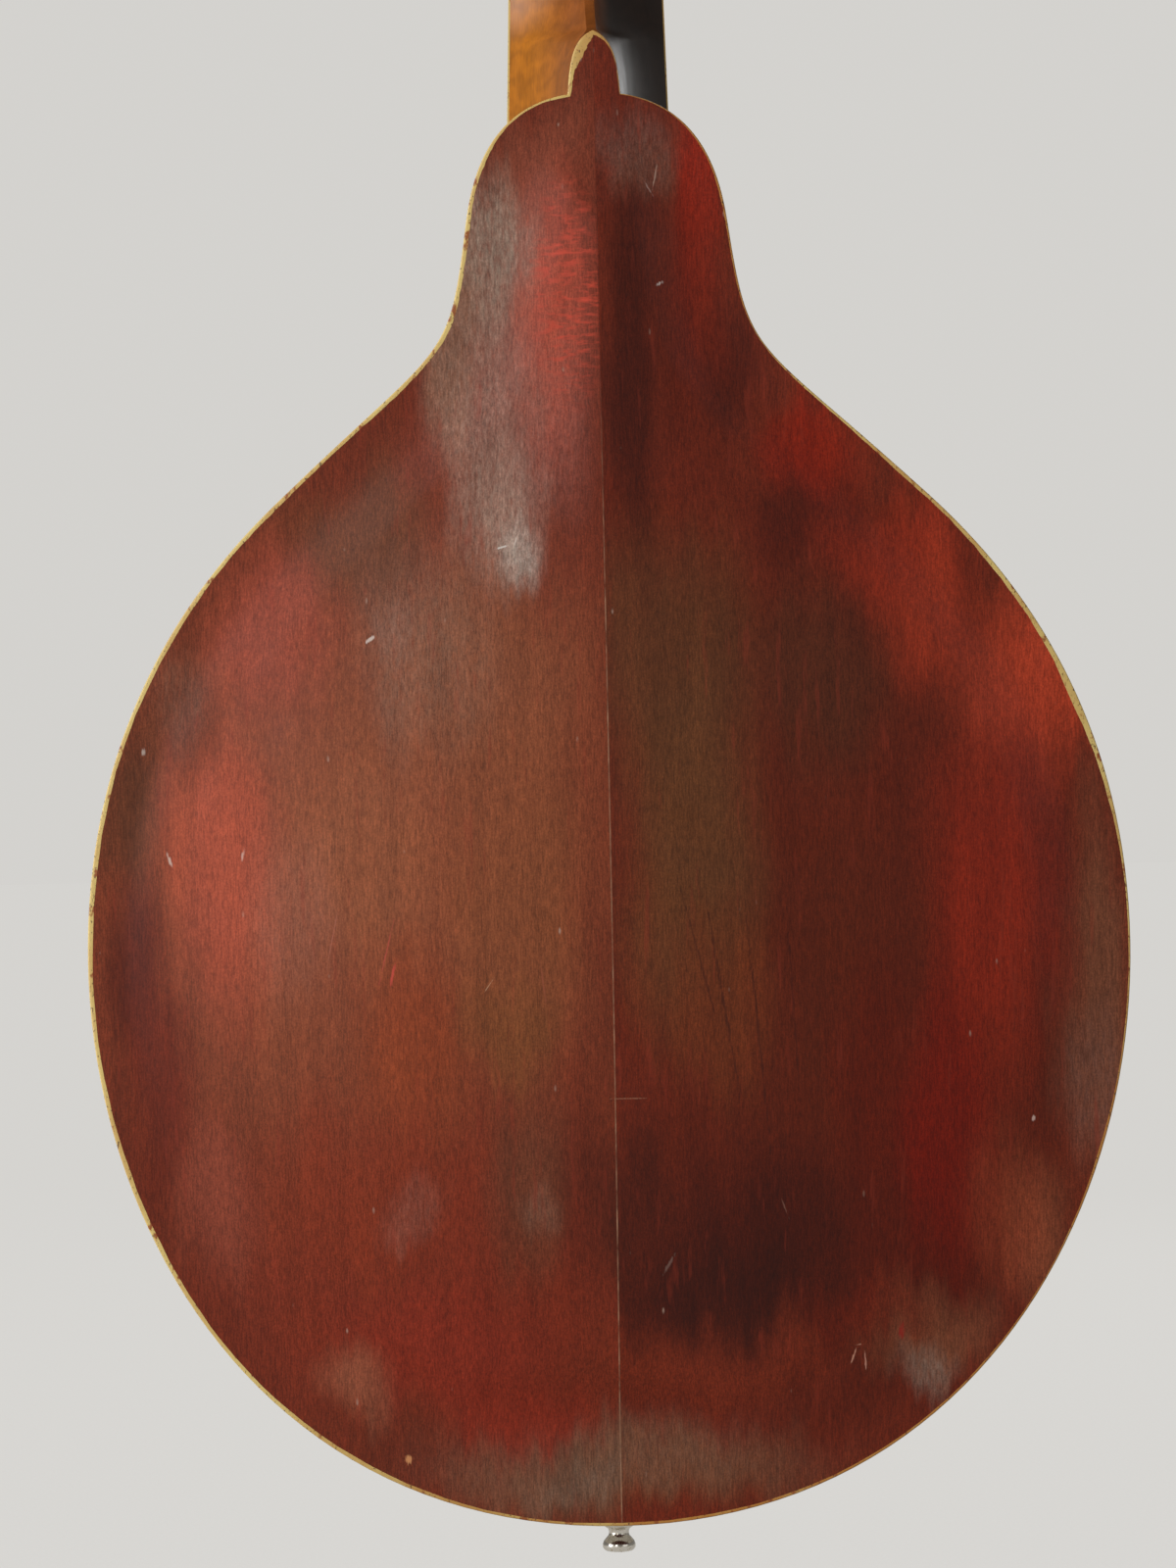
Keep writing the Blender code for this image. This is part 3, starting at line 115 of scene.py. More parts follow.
def addNode(tree, kind, inputs=None, out=0, **settings):
    # One shader node with its settings and links; gives back the output socket that is used
    made = tree.nodes.new("ShaderNode" + kind)
    for name, value in settings.items():
        setattr(made, name, value)
    feed(tree, made, inputs or {})
    return made.outputs[out]


colourMix = {"out": 2, "data_type": "RGBA"}     # settings of every mix of two colours


def newMaterial(name):
    # A plain Principled material: gives back the material, its tree, its shader and the place on the piece
    material = bpy.data.materials.new(name)
    material.use_nodes = True
    tree = material.node_tree
    return material, tree, tree.nodes["Principled BSDF"], addNode(tree, "TexCoord", out=3)


def smoothstep(value):
    value = np.clip(value, 0.0, 1.0)
    return value * value * (3.0 - 2.0 * value)


def bezier(start, startHandle, endHandle, end, steps):
    # Points of one curve in the plane, without its last one
    ends = [Vector((*p, 0.0)) for p in (start, startHandle, endHandle, end)]
    return [(p.x, p.y) for p in interpolate_bezier(*ends, steps)][:-1]


def offsetLoop(points, distance):
    # Moves a closed counter-clockwise loop inwards; distance is one number or one for each point
    moved = []
    for i, here in enumerate(points):
        before, after = points[i - 1], points[(i + 1) % len(points)]
        first = Vector((before[1] - here[1], here[0] - before[0])).normalized()
        second = Vector((here[1] - after[1], after[0] - here[0])).normalized()
        mitre = (first + second).normalized()
        reach = (distance if isinstance(distance, float) else distance[i]) / max(mitre.dot(first), 0.5)
        moved.append((here[0] + mitre.x * reach, here[1] + mitre.y * reach))
    return moved


def addObject(name, data, matrix=None):
    item = bpy.data.objects.new(name, data)
    bpy.context.scene.collection.objects.link(item)
    if matrix is not None:
        item.matrix_world = matrix
    return item


def axesMatrix(origin, x, y, z):
    return Matrix.Translation(origin) @ Matrix((x, y, z)).transposed().to_4x4()


def addPiece(name, data, material, rider="instrument", stands=(), matrix=None):
    # Puts a mesh or curve in the scene, on a body and in place of the solids it stands for
    data.materials.append(material)
    piece = addObject(name, data, matrix)
    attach(piece, rider)
    if stands:
        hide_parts(*stands)
    return piece


def meshFrom(bm, name, sharp=0.6):
    bmesh.ops.remove_doubles(bm, verts=bm.verts, dist=1e-6)
    bmesh.ops.recalc_face_normals(bm, faces=bm.faces)
    mesh = bpy.data.meshes.new(name)
    bm.to_mesh(mesh)
    bm.free()
    mesh.shade_smooth()
    mesh.set_sharp_from_angle(angle=sharp)
    return mesh


def skinRings(bm, rings, closed=False):
    # Quads between rings of equal length, capped at both ends or closed round
    loops = [[bm.verts.new(point) for point in ring] for ring in rings]
    for low, high in list(zip(loops, loops[1:])) + ([(loops[-1], loops[0])] if closed else []):
        for i in range(len(low)):
            j = (i + 1) % len(low)
            bm.faces.new((low[i], low[j], high[j], high[i]))
    if not closed:
        bm.faces.new(loops[0])
        bm.faces.new(loops[-1])


def loftMesh(name, rings, sharp=0.6, closed=False):
    bm = bmesh.new()
    skinRings(bm, rings, closed)
    return meshFrom(bm, name, sharp)


def circle(radius, height, sides):
    turns = [2 * pi * i / sides for i in range(sides)]
    return [(radius * cos(a), radius * sin(a), height) for a in turns]


def addBevel(piece, width, segments=2, angle=0.6):
    step = piece.modifiers.new("softEdges", "BEVEL")
    step.width = width
    step.segments = segments
    step.limit_method = "ANGLE"
    step.angle_limit = angle
    step.harden_normals = True


# Body outline and carved surfaces, by the same rules as the solids

def bodyHalf():
    points = []
    for (x0, t0, turn0, _, ahead), (x1, t1, turn1, behind, _) in zip(body["knots"], body["knots"][1:]):
        a, b = radians(turn0), radians(turn1)
        points += bezier((x0, t0), (x0 - ahead * sin(a), t0 + ahead * cos(a)),
                         (x1 + behind * sin(b), t1 - behind * cos(b)), (x1, t1), body["steps"])
    return points + [(0.0, body["length"])]


def halfWithButton():
    # The same half, turning up a sharp corner into the heel button
    half, width, length = bodyHalf(), body["buttonHalf"], body["length"]
    turning = max(i for i, (x, t) in enumerate(half) if x > width + body["buttonFoot"])
    beyond = next(i for i, (x, t) in enumerate(half) if i > turning and x < width)
    (x0, t0), (x1, t1) = half[turning], half[beyond]
    foot = t0 + (t1 - t0) * (x0 - width) / (x0 - x1)
    tip = (0.0, length + body["buttonLength"])
    handles = [(x, length + up) for x, up in (body["buttonFlank"], body["buttonShoulder"])]
    return half[:turning + 1] + bezier((width, foot), *handles, tip, body["buttonSteps"]) + [tip]


def wholeLoop(half):
    return half + [(-x, t) for x, t in reversed(half[1:-1])]


def flankDistance(points, flank):
    # Distance from each point to the nearest stretch of a flank, for many points at once
    starts, ends = np.array(flank[:-1]), np.array(flank[1:])
    along = ends - starts
    nearest = np.full(len(points), 1.0)
    for first in range(0, len(points), 4000):
        some = points[first:first + 4000, None, :] - starts[None]
        share = np.clip((some * along).sum(2) / (along ** 2).sum(1), 0.0, 1.0)
        nearest[first:first + 4000] = np.linalg.norm(some - share[..., None] * along, axis=2).min(1)
    return nearest


def archHeight(points, height, fullness):
    # Carved height over the edge plane, with the crest along the centre line rounded over
    points = np.array(points)
    flank = bodyHalf()
    near = flankDistance(np.abs(points), flank)
    far = flankDistance(np.abs(points) * (-1, 1), flank)
    start, width = body["recurveStart"], body["recurveWidth"]
    levels, roundings = zip(*body["ridgeRounding"])
    rounding = np.interp(points[:, 1], levels, roundings) * np.clip((near - start) / width, 0.0, 1.0)
    inset = 0.5 * (near + far - np.sqrt((near - far) ** 2 + rounding ** 2))
    rise = np.clip((inset - start) / (body["widestInset"] - start), 0.0, 1.0)
    carved = height * np.sin(pi / 2 * rise) ** fullness * smoothstep((inset - start) / width)
    return np.where(points[:, 1] < body["length"], carved, 0.0)


def topSurface(points):
    return body["topEdge"] + archHeight(points, body["topArch"], body["topFullness"])


def backSurface(points):
    return body["backEdge"] - archHeight(points, body["backArch"], body["backFullness"])


bodyLoop = wholeLoop(bodyHalf())
backLoop = wholeLoop(halfWithButton())


# Back: two book-matched halves, each a ruled grid from its edge to the centre seam

backPlate = {
    "rows": 46,
    "crowding": 1.35,           # rows stand closer together near the edge
    "seamHalf": 0.00002,
    "shoulderDrop": 0.0006,     # the button's grid starts this far below the body's end
    "buttonMargin": 0.001,
    # how much of the binding the stain leaves bare, in mm, at heights above the tail in mm
    "bareTreble": ((0, 0.75), (12, 0.95), (60, 1.05), (150, 1.15), (240, 1.0), (270, 0.9), (300, 1.15),
                   (335, 0.95), (350, 0.45), (353, 0.95), (357, 1.2), (361, 2.2), (364.5, 2.5),
                   (366.4, 2.1), (367.2, 1.5)),
    "bareBass": ((0, 0.75), (8, 0.8), (25, 0.6), (60, 0.45), (92, 0.75), (105, 0.45), (160, 0.60),
                 (180, 1.0), (194, 1.4), (200, 2.1), (209, 1.6), (224, 1.2), (250, 1.0), (272, 0.7),
                 (290, 0.35), (330, 0.60), (345, 0.40), (351, 0.25), (361, 0.35), (365, 0.55), (367.2, 1.1)),
}


def buttonBinding(loop):
    # The binding's bare width round the back, a little ragged where the stain ran over it
    widths = []
    for i, (x, t) in enumerate(loop):
        heights, bare = zip(*backPlate["bareTreble" if x < 0 else "bareBass"])
        ragged = 1 + 0.10 * sin(2.3 * i) * sin(0.71 * i) + 0.08 * sin(0.37 * i + 1.0)
        widths.append(float(np.interp(t * 1000, heights, bare)) * ragged / 1000)
    return widths


def ruledGrid(edge, seamLow, seamHigh):
    # Straight rows from each edge point to its place on the seam
    rows, crowding = backPlate["rows"], backPlate["crowding"]
    lengths = [0.0]
    for here, there in zip(edge, edge[1:]):
        lengths.append(lengths[-1] + hypot(there[0] - here[0], there[1] - here[1]))
    steps = [(j / rows) ** crowding for j in range(rows + 1)]
    grid = []
    for (x, t), run in zip(edge, lengths):
        seam = seamLow + (seamHigh - seamLow) * run / lengths[-1]
        grid.append([(x * (1 - f), t + (seam - t) * f) for f in steps])
    return grid


def platedMesh(name, grid, surface, thickness, closedRound=False):
    # A curved plate of even thickness over a grid of plane points
    flat = [p for column in grid for p in column]
    outer = surface(flat)
    rows = len(grid[0])
    bm = bmesh.new()
    skins = []
    for drop in (0.0, thickness):
        verts = [bm.verts.new((x, y + drop, body["tailZ"] + t)) for (x, t), y in zip(flat, outer)]
        skins.append([verts[i * rows:(i + 1) * rows] for i in range(len(grid))])
    outside, inside = skins
    for i in range(len(grid) if closedRound else len(grid) - 1):
        k = (i + 1) % len(grid)
        for skin in skins:
            for j in range(rows - 1):
                bm.faces.new((skin[i][j], skin[k][j], skin[k][j + 1], skin[i][j + 1]))
        for j in (0, rows - 1):
            bm.faces.new((outside[i][j], outside[k][j], inside[k][j], inside[i][j]))
    return meshFrom(bm, name, 0.7)


def bareInside(piece, facesInside):
    # The faces that look into the box are bare wood
    piece.data.materials.append(rawWood)
    for face in piece.data.polygons:
        if facesInside(face):
            face.material_index = 1


def makeBack(side, word, material):
    inset = offsetLoop(backLoop, buttonBinding(backLoop))
    flank = inset[:len(backLoop) // 2 + 1] if side > 0 else [inset[0]] + inset[:len(backLoop) // 2 - 1:-1]
    edge = [(side * max(abs(x), backPlate["seamHalf"]), t) for x, t in flank]
    split = body["length"] - backPlate["shoulderDrop"]
    wide = body["buttonHalf"] + backPlate["buttonMargin"]
    lower = [(x, t) for x, t in edge if t < split or abs(x) > wide]
    grid = ruledGrid(lower, edge[0][1], split) + ruledGrid(edge[len(lower) - 1:], split, edge[-1][1])[1:]
    grid = [[(side * max(side * x, backPlate["seamHalf"]), t) for x, t in column] for column in grid]
    mesh = platedMesh(f"back{word}Half", grid, backSurface, body["plate"])
    half = addPiece(f"back{word}Half", mesh, material, stands=(f"back_{word.lower()}_half",))
    bareInside(half, lambda face: face.normal.y > 0.3)


# Binding: a strip let into the edge, its outer corner rounded over by the scraper

bindingStrip = {"corner": 0.00035, "depth": 0.0040}


def bindingMesh(name, loop, widths, faceY, inward):
    inner = offsetLoop(loop, widths)
    corner, depth = bindingStrip["corner"], bindingStrip["depth"]
    section = [(0.0, depth)] + [(corner * (1 - sin(a)), corner * (1 - cos(a)))
                                for a in (radians(15 * k) for k in range(7))][::-1]
    rings = []
    for (x0, t0), (x1, t1), width in zip(loop, inner, widths):
        ring = []
        for along, down in section + [(width, 0.0), (width, depth)]:
            share = min(along, width) / width
            ring.append((x0 + (x1 - x0) * share, faceY + inward * down,
                         body["tailZ"] + t0 + (t1 - t0) * share))
        rings.append(ring)
    return loftMesh(name, rings, 0.9, closed=True)


# Rim: two bent ribs with their linings inside

def ribMesh(name, side, outerLoop, innerLoop, backY, topY):
    count = len(outerLoop) // 2
    rings = []
    for (x0, t0), (x1, t1) in zip(outerLoop[:count + 1], innerLoop[:count + 1]):
        rings.append([(side * max(x, 0.00002), y, body["tailZ"] + t)
                      for x, t, y in ((x0, t0, backY), (x0, t0, topY), (x1, t1, topY), (x1, t1, backY))])
    return loftMesh(name, rings, 0.9)


# Top: an even ring of columns from the oval sound hole to the edge

soundHole = {
    "height": 0.2520,           # its middle above the tail
    "halfWidth": 0.0290,
    "halfLength": 0.0220,
    "binding": 0.0018,
    "columns": 60,
    "crowding": 1.25,
    "sides": 96,
    # inlaid rings outside the hole: inner edge, outer edge, whether dark
    "rings": ((0.0062, 0.0067, True), (0.0067, 0.0079, False), (0.0079, 0.0084, True),
              (0.0084, 0.0089, False), (0.0089, 0.0094, True)),
}


def ovalPoint(angle, margin):
    # A point of the oval, grown by a margin, in a direction from its centre
    a, b = soundHole["halfWidth"] + margin, soundHole["halfLength"] + margin
    reach = 1 / hypot(cos(angle) / a, sin(angle) / b)
    return reach * cos(angle), soundHole["height"] + reach * sin(angle)


def makeTop(material):
    columns = soundHole["columns"]
    shares = [1 - (1 - j / columns) ** soundHole["crowding"] for j in range(columns + 1)]
    grid = []
    for x, t in offsetLoop(bodyLoop, body["binding"]):
        hx, ht = ovalPoint(atan2(t - soundHole["height"], x), soundHole["binding"])
        grid.append([(hx + (x - hx) * f, ht + (t - ht) * f) for f in shares])
    mesh = platedMesh("topPlate", grid, topSurface, -body["plate"], closedRound=True)
    plate = addPiece("topPlate", mesh, material, stands=("top_plate",))
    bareInside(plate, lambda face: face.normal.y < -0.3)


def ovalRing(name, innerMargin, outerMargin, low, high, material, stands=()):
    # A ring that follows the arched top round the sound hole, from low to high over it
    turns = [2 * pi * i / soundHole["sides"] for i in range(soundHole["sides"])]
    inner, outer = ([ovalPoint(a, margin) for a in turns] for margin in (innerMargin, outerMargin))
    rings = []
    for (x0, t0), y0, (x1, t1), y1 in zip(inner, topSurface(inner), outer, topSurface(outer)):
        z0, z1 = body["tailZ"] + t0, body["tailZ"] + t1
        rings.append(((x0, y0 + low, z0), (x0, y0 + high, z0), (x1, y1 + high, z1), (x1, y1 + low, z1)))
    return addPiece(name, loftMesh(name, rings, 0.7, closed=True), material, stands=stands)


# Neck: one lofted piece from the crown of the headstock to the foot of the heel

neckLoft = {
    "levels": 22,               # points down each flank of a section
    "stations": 90,             # sections from the nut to the heel's foot
    "ridge": 0.0012,
    "roundness": 1.45,          # 1 would be a plain V
    "headStart": 0.006,
    "squaring": (0.002, 0.028),     # where the headstock's section turns square, and over what
    "heelLead": 0.008,
    "footMargin": 0.0018,
    "bareRun": 0.020,
    # the headstock's half outline, from the nut up: start, two handles, end, steps
    "head": (((0.0158, 0.0), (0.0158, 0.012), (0.0268, 0.012), (0.0280, 0.030), 18),
             ((0.0280, 0.030), (0.0285, 0.048), (0.0340, 0.085), (0.0368, 0.120), 12),
             ((0.0368, 0.120), (0.0376, 0.132), (0.0210, 0.146), (0.0, 0.146), 26)),
}


def planeAxes(pitch):
    return Vector((0.0, sin(pitch), -cos(pitch))), Vector((0.0, cos(pitch), sin(pitch)))


rightward = Vector((1.0, 0.0, 0.0))
neckAlong, neckFront = planeAxes(neck["pitch"])
headAlong, headFront = planeAxes(neck["pitch"] + neck["headAngle"])
neckFrame = axesMatrix(Vector(), rightward, neckAlong, neckFront)
headFrame = axesMatrix(neckAlong * -neck["nutThickness"], rightward, headAlong, headFront)


def headHalf():
    return [point for curve in neckLoft["head"] for point in bezier(*curve)]


def neckHalfWidth(s):
    return neck["nutHalf"] + (neck["jointHalf"] - neck["nutHalf"]) * s / neck["joint"]


def neckSection(halfWidth, depth, ridge, heel, square):
    side, power = [], neckLoft["roundness"]
    for k in range(neckLoft["levels"] + 1):
        level = (k / neckLoft["levels"]) ** 0.8
        vNeck = max(halfWidth * (1 - level ** power) ** (1 / power), ridge * (1 - level ** 8) ** 0.5)
        waisted = ridge + (halfWidth - ridge) * (1 - level) ** 2
        x = vNeck + (waisted - vNeck) * heel
        side.append((x + (halfWidth - x) * square, -depth * level))
    return side + [(0.0, -depth * (1.02 - 0.02 * max(heel, square)))] + [(-x, z) for x, z in side[::-1]]


def heelDepth(s):
    atNut, atHeel = neck["depthAtNut"], neck["depthAtHeel"]
    if s <= neck["heelStart"]:
        return atNut + (atHeel - atNut) * max(s, 0.0) / neck["heelStart"]
    footY = body["backEdge"] + body["plate"] + 0.00002
    foot = (max(s, neck["heelTip"]) * sin(neck["pitch"]) - footY) / cos(neck["pitch"])
    if s >= neck["heelTip"]:
        return foot
    swept = (s - neck["heelStart"]) / (neck["heelTip"] - neck["heelStart"])
    return atHeel + (foot - atHeel) * (1 - (1 - swept ** 2.2) ** 0.5)


def makeNeck(material):
    rings, thin = [], neckLoft["ridge"]
    start, run = neckLoft["squaring"]
    for halfWidth, up in reversed(headHalf()[1:]):
        if up > neckLoft["headStart"]:
            ring = neckSection(halfWidth, neck["headThickness"], thin, 0.0, smoothstep((up - start) / run))
            rings.append([headFrame @ Vector((x, -up, z)) for x, z in ring])
    heelStart, heelTip = neck["heelStart"], neck["heelTip"]
    button, wide = neck["joint"] - heelTip, body["buttonHalf"] - neckLoft["footMargin"]
    first, last = -neck["nutThickness"], neck["joint"] + 0.2 * button
    for k in range(neckLoft["stations"] + 1):
        s = first + (last - first) * (1 - (1 - k / neckLoft["stations"]) ** 1.6)
        heel = smoothstep((s - heelStart + neckLoft["heelLead"]) / (heelTip - heelStart))
        foot = min(max((s - heelTip) / button, 0.0), 1.0)
        ridge = thin + wide * (1 - (1 - foot) ** 2) ** 0.5
        halfWidth = neckHalfWidth(s) - neck["bareEdge"] * smoothstep(s / neckLoft["bareRun"])
        ring = neckSection(halfWidth, heelDepth(s), ridge, heel, 0.0)
        rings.append([neckFrame @ Vector((x, s, z)) for x, z in ring])
    addPiece("neckAndHeadstock", loftMesh("neckAndHeadstock", rings), material, stands=("neck",))


# Fingerboard with its frets, position dots and nut

board = {
    "thickness": 0.0050,
    "end": 0.2450,
    "binding": 0.0012,
    "bevel": 0.0003,
    "frets": 20,
    "fretHeight": 0.0010,
    "fretHalf": 0.0010,
    "fretOverlap": 0.0007,      # how far a fret runs out over the binding
    # along a fret from end to end: share of its half length, share of its height
    "fretEnds": ((-1.0, 0.05), (-0.985, 0.62), (-0.965, 1.0), (0.965, 1.0), (0.985, 0.62), (1.0, 0.05)),
    "crownSteps": 7,
    "dots": {5: (0.0,), 7: (0.0,), 10: (0.0,), 12: (-0.0062, 0.0062), 15: (0.0,)},
    "dotRadius": 0.0025,
    "dotDepth": 0.0008,
    "dotSunk": 0.00036,         # its middle lies this far under the face
}


def fretDistance(number):
    return neck["scale"] * (1 - 2 ** (-number / 12))


def makeFingerboard(wood, wire, shell):
    gap, inset, thick = body["gap"], board["binding"] + body["gap"], board["thickness"]
    rings = []
    for s in (gap, board["end"] - inset):
        x = neckHalfWidth(s) - inset
        rings.append(((-x, s, gap), (x, s, gap), (x, s, thick), (-x, s, thick)))
    blank = addPiece("fingerboardWood", loftMesh("fingerboardWood", rings), wood, stands=("fingerboard",),
                     matrix=neckFrame)
    addBevel(blank, board["bevel"])
    bm = bmesh.new()
    arc = [pi * k / (board["crownSteps"] - 1) for k in range(board["crownSteps"])]
    for number in range(1, board["frets"] + 1):
        s = fretDistance(number)
        half = neckHalfWidth(s) - inset + board["fretOverlap"]
        skinRings(bm, [[(half * share, s + board["fretHalf"] * cos(a),
                         thick + board["fretHeight"] * rise * sin(a) ** 0.8) for a in arc]
                       for share, rise in board["fretEnds"]])
    addPiece("fretWires", meshFrom(bm, "fretWires", 0.8), wire, matrix=neckFrame)
    bm = bmesh.new()
    for number, places in board["dots"].items():
        middle = (fretDistance(number) + fretDistance(number - 1)) / 2
        for x in places:
            bmesh.ops.create_cone(bm, cap_ends=True, segments=36, radius1=board["dotRadius"],
                                  radius2=board["dotRadius"], depth=board["dotDepth"],
                                  matrix=Matrix.Translation((x, middle, thick - board["dotSunk"])))
    addPiece("positionDots", meshFrom(bm, "positionDots"), shell, matrix=neckFrame)


# Headstock face and tuners

tuner = {
    "firstPost": (0.0185, 0.0360),  # away from the centre line, and up from the nut
    "step": 0.0232,
    "splay": radians(3.3),
    "postRadius": 0.0030,
    "postWaist": 0.0024,
    "above": 0.0115,
    "wormHeight": 0.0044,
    "threadPitch": 0.0020,
    "threadTurns": 3,
    "threadSteps": 32,
    "root": 0.00155,
    "crest": 0.00270,
    "wormPitchRadius": 0.0022,
    "shaft": 0.0013,
    "shaftEnds": (-0.0062, 0.0226),
    "teeth": 14,
    "wheelHalf": 0.0014,
    "buttonStart": 0.0150,
}
tuner["wheelPitchRadius"] = tuner["teeth"] * tuner["threadPitch"] / (2 * pi)
tuner["centreDistance"] = tuner["wormPitchRadius"] + tuner["wheelPitchRadius"]
rearward = -headFront


def tunerAxes(side):
    up, across = -headAlong, Vector((side, 0.0, 0.0))
    splay = tuner["splay"]
    return up * cos(splay) + across * sin(splay), across * cos(splay) - up * sin(splay)


def postPlace(side, row):
    (x, up), away = tuner["firstPost"], row * tuner["step"]
    return side * (x + away * sin(tuner["splay"])), up + away * cos(tuner["splay"])


def postMatrix(side, row):
    x, up = postPlace(side, row)
    along = tunerAxes(side)[0]
    origin = headFrame @ Vector((x, -up, -neck["headThickness"]))
    return axesMatrix(origin, along, rearward.cross(along), rearward)


def wormMatrix(side, row):
    along, outward = tunerAxes(side)
    offset = along * tuner["centreDistance"] + rearward * tuner["wormHeight"]
    origin = postMatrix(side, row).translation + offset
    return axesMatrix(origin, -along, outward.cross(-along), outward)


def turnedMesh(name, profile, sides=40, sharp=0.6):
    # A turned piece round its local Z from (height, radius) pairs
    return loftMesh(name, [circle(r, z, sides) for z, r in profile], sharp)


def makeVeneer(material, frontFace):
    gap, face = body["gap"], neck["veneer"]
    edge = [(x - gap, -up) for x, up in headHalf() if up > 0.001 and x > 0.001]
    loop = [(neck["nutHalf"], -0.0008)] + edge + [(0.0, gap - neck["headLength"])]
    loop += [(-x, y) for x, y in loop[-2::-1]]
    rings = [[(x, y, z) for x, y in loop] for z in (gap, face)]
    veneer = addPiece("headstockVeneer", loftMesh("headstockVeneer", rings), material,
                      stands=("headstock_veneer",), matrix=headFrame)
    addBevel(veneer, 0.0004)
    ferrule = ((face - 0.0004, 0.0050), (face + 0.0004, 0.0050), (face + 0.0009, 0.0046),
               (face + 0.0011, 0.0040), (face + 0.0009, 0.0034), (face - 0.0004, 0.0033))
    for side in (1, -1):
        for row in range(4):
            x, up = postPlace(side, row)
            ring = turnedMesh("postFerrule", ferrule)
            addPiece(f"postFerrule{'Bass' if side > 0 else 'Treble'}{row + 1}", ring, frontFace,
                     matrix=headFrame @ Matrix.Translation((x, -up, 0.0)))


def wormMesh():
    # A single helical thread with rounded flanks on its shaft, in mesh with the wheel as the solids are
    steps, turns, pitch = tuner["threadSteps"], tuner["threadTurns"], tuner["threadPitch"]
    root, shaft, (low, high) = tuner["root"], tuner["shaft"], tuner["shaftEnds"]
    profile = []
    for k in range(9):
        flank = min(1.0, max(0.0, 1.0 - max(abs(k / 8 - 0.5) - 0.21, 0.0) / 0.29))
        profile.append((0.20 + 0.60 * k / 8, root + (tuner["crest"] - root) * flank ** 0.9))
    sunk = root - 0.0001            # where the thread fades out, under the shaft's surface
    bm = bmesh.new()
    thread = []
    for j in range(steps * turns + 1):
        turn = 2 * pi * (j / steps - turns / 2)
        fade = smoothstep(j / (steps * 0.3)) * smoothstep((steps * turns - j) / (steps * 0.3))
        base = pitch * (turn / (2 * pi) - 0.5)
        spiral = [(base + part * pitch, sunk + (r - sunk) * fade) for part, r in profile]
        thread.append([bm.verts.new((r * cos(turn), r * sin(turn), z)) for z, r in spiral])
    for near, far in zip(thread, thread[1:]):
        for k in range(len(profile) - 1):
            bm.faces.new((near[k], far[k], far[k + 1], near[k + 1]))
    half = pitch * (turns / 2 + 0.3)
    outline = ((low, shaft - 0.0003), (low + 0.0003, shaft), (-half - 0.0002, shaft), (-half, root),
               (half, root), (half + 0.0002, shaft), (high - 0.0003, shaft), (high, shaft - 0.0003))
    skinRings(bm, [circle(r, z, steps) for z, r in outline])
    return meshFrom(bm, "wormShaft", 0.7)


def wheelMesh():
    # Teeth with rounded roots, slanted by the lead of the thread
    pitchRadius, half = tuner["wheelPitchRadius"], tuner["wheelHalf"]
    lead = tuner["threadPitch"] / (2 * pi * tuner["wormPitchRadius"])
    teeth, height = tuner["teeth"], tuner["wormHeight"]
    tooth = ((-0.5, -0.00065), (-0.30, -0.00063), (-0.21, -0.00030), (-0.13, 0.00025), (-0.075, 0.00048),
             (0.075, 0.00048), (0.13, 0.00025), (0.21, -0.00030), (0.30, -0.00063))
    rings = []
    for z, shrink in ((-half, 0.00025), (-half + 0.0003, 0.0), (half - 0.0003, 0.0), (half, 0.00025)):
        twist = lead * z / pitchRadius
        ring = []
        for number in range(teeth):
            for place, rise in tooth:
                turn = 2 * pi * (number + 0.5 + place) / teeth + twist
                radius = pitchRadius + rise - shrink * (rise > 0)
                ring.append((radius * cos(turn), radius * sin(turn), height + z))
        rings.append(ring)
    return loftMesh("wormWheel", rings, 0.5)


def buttonMesh():
    # An oval turned button with a collar where the shaft goes in
    outline = ((0.0, 0.0023, 0.0022), (0.0002, 0.0026, 0.0024), (0.0010, 0.0027, 0.00245),
               (0.0016, 0.0031, 0.0026), (0.0028, 0.0041, 0.00285), (0.0044, 0.0050, 0.0030),
               (0.0060, 0.00530, 0.0031), (0.0074, 0.00520, 0.0031), (0.0088, 0.0047, 0.00295),
               (0.0100, 0.0038, 0.00265), (0.0110, 0.0027, 0.0021), (0.0116, 0.0016, 0.0014),
               (0.0118, 0.0004, 0.0004))       # up from its foot, half width, half thickness
    rings = [[(thick * x, wide * y, z) for x, y, z in circle(1.0, tuner["buttonStart"] + z, 36)]
             for z, wide, thick in outline]
    return loftMesh("tunerButton", rings, 1.2)


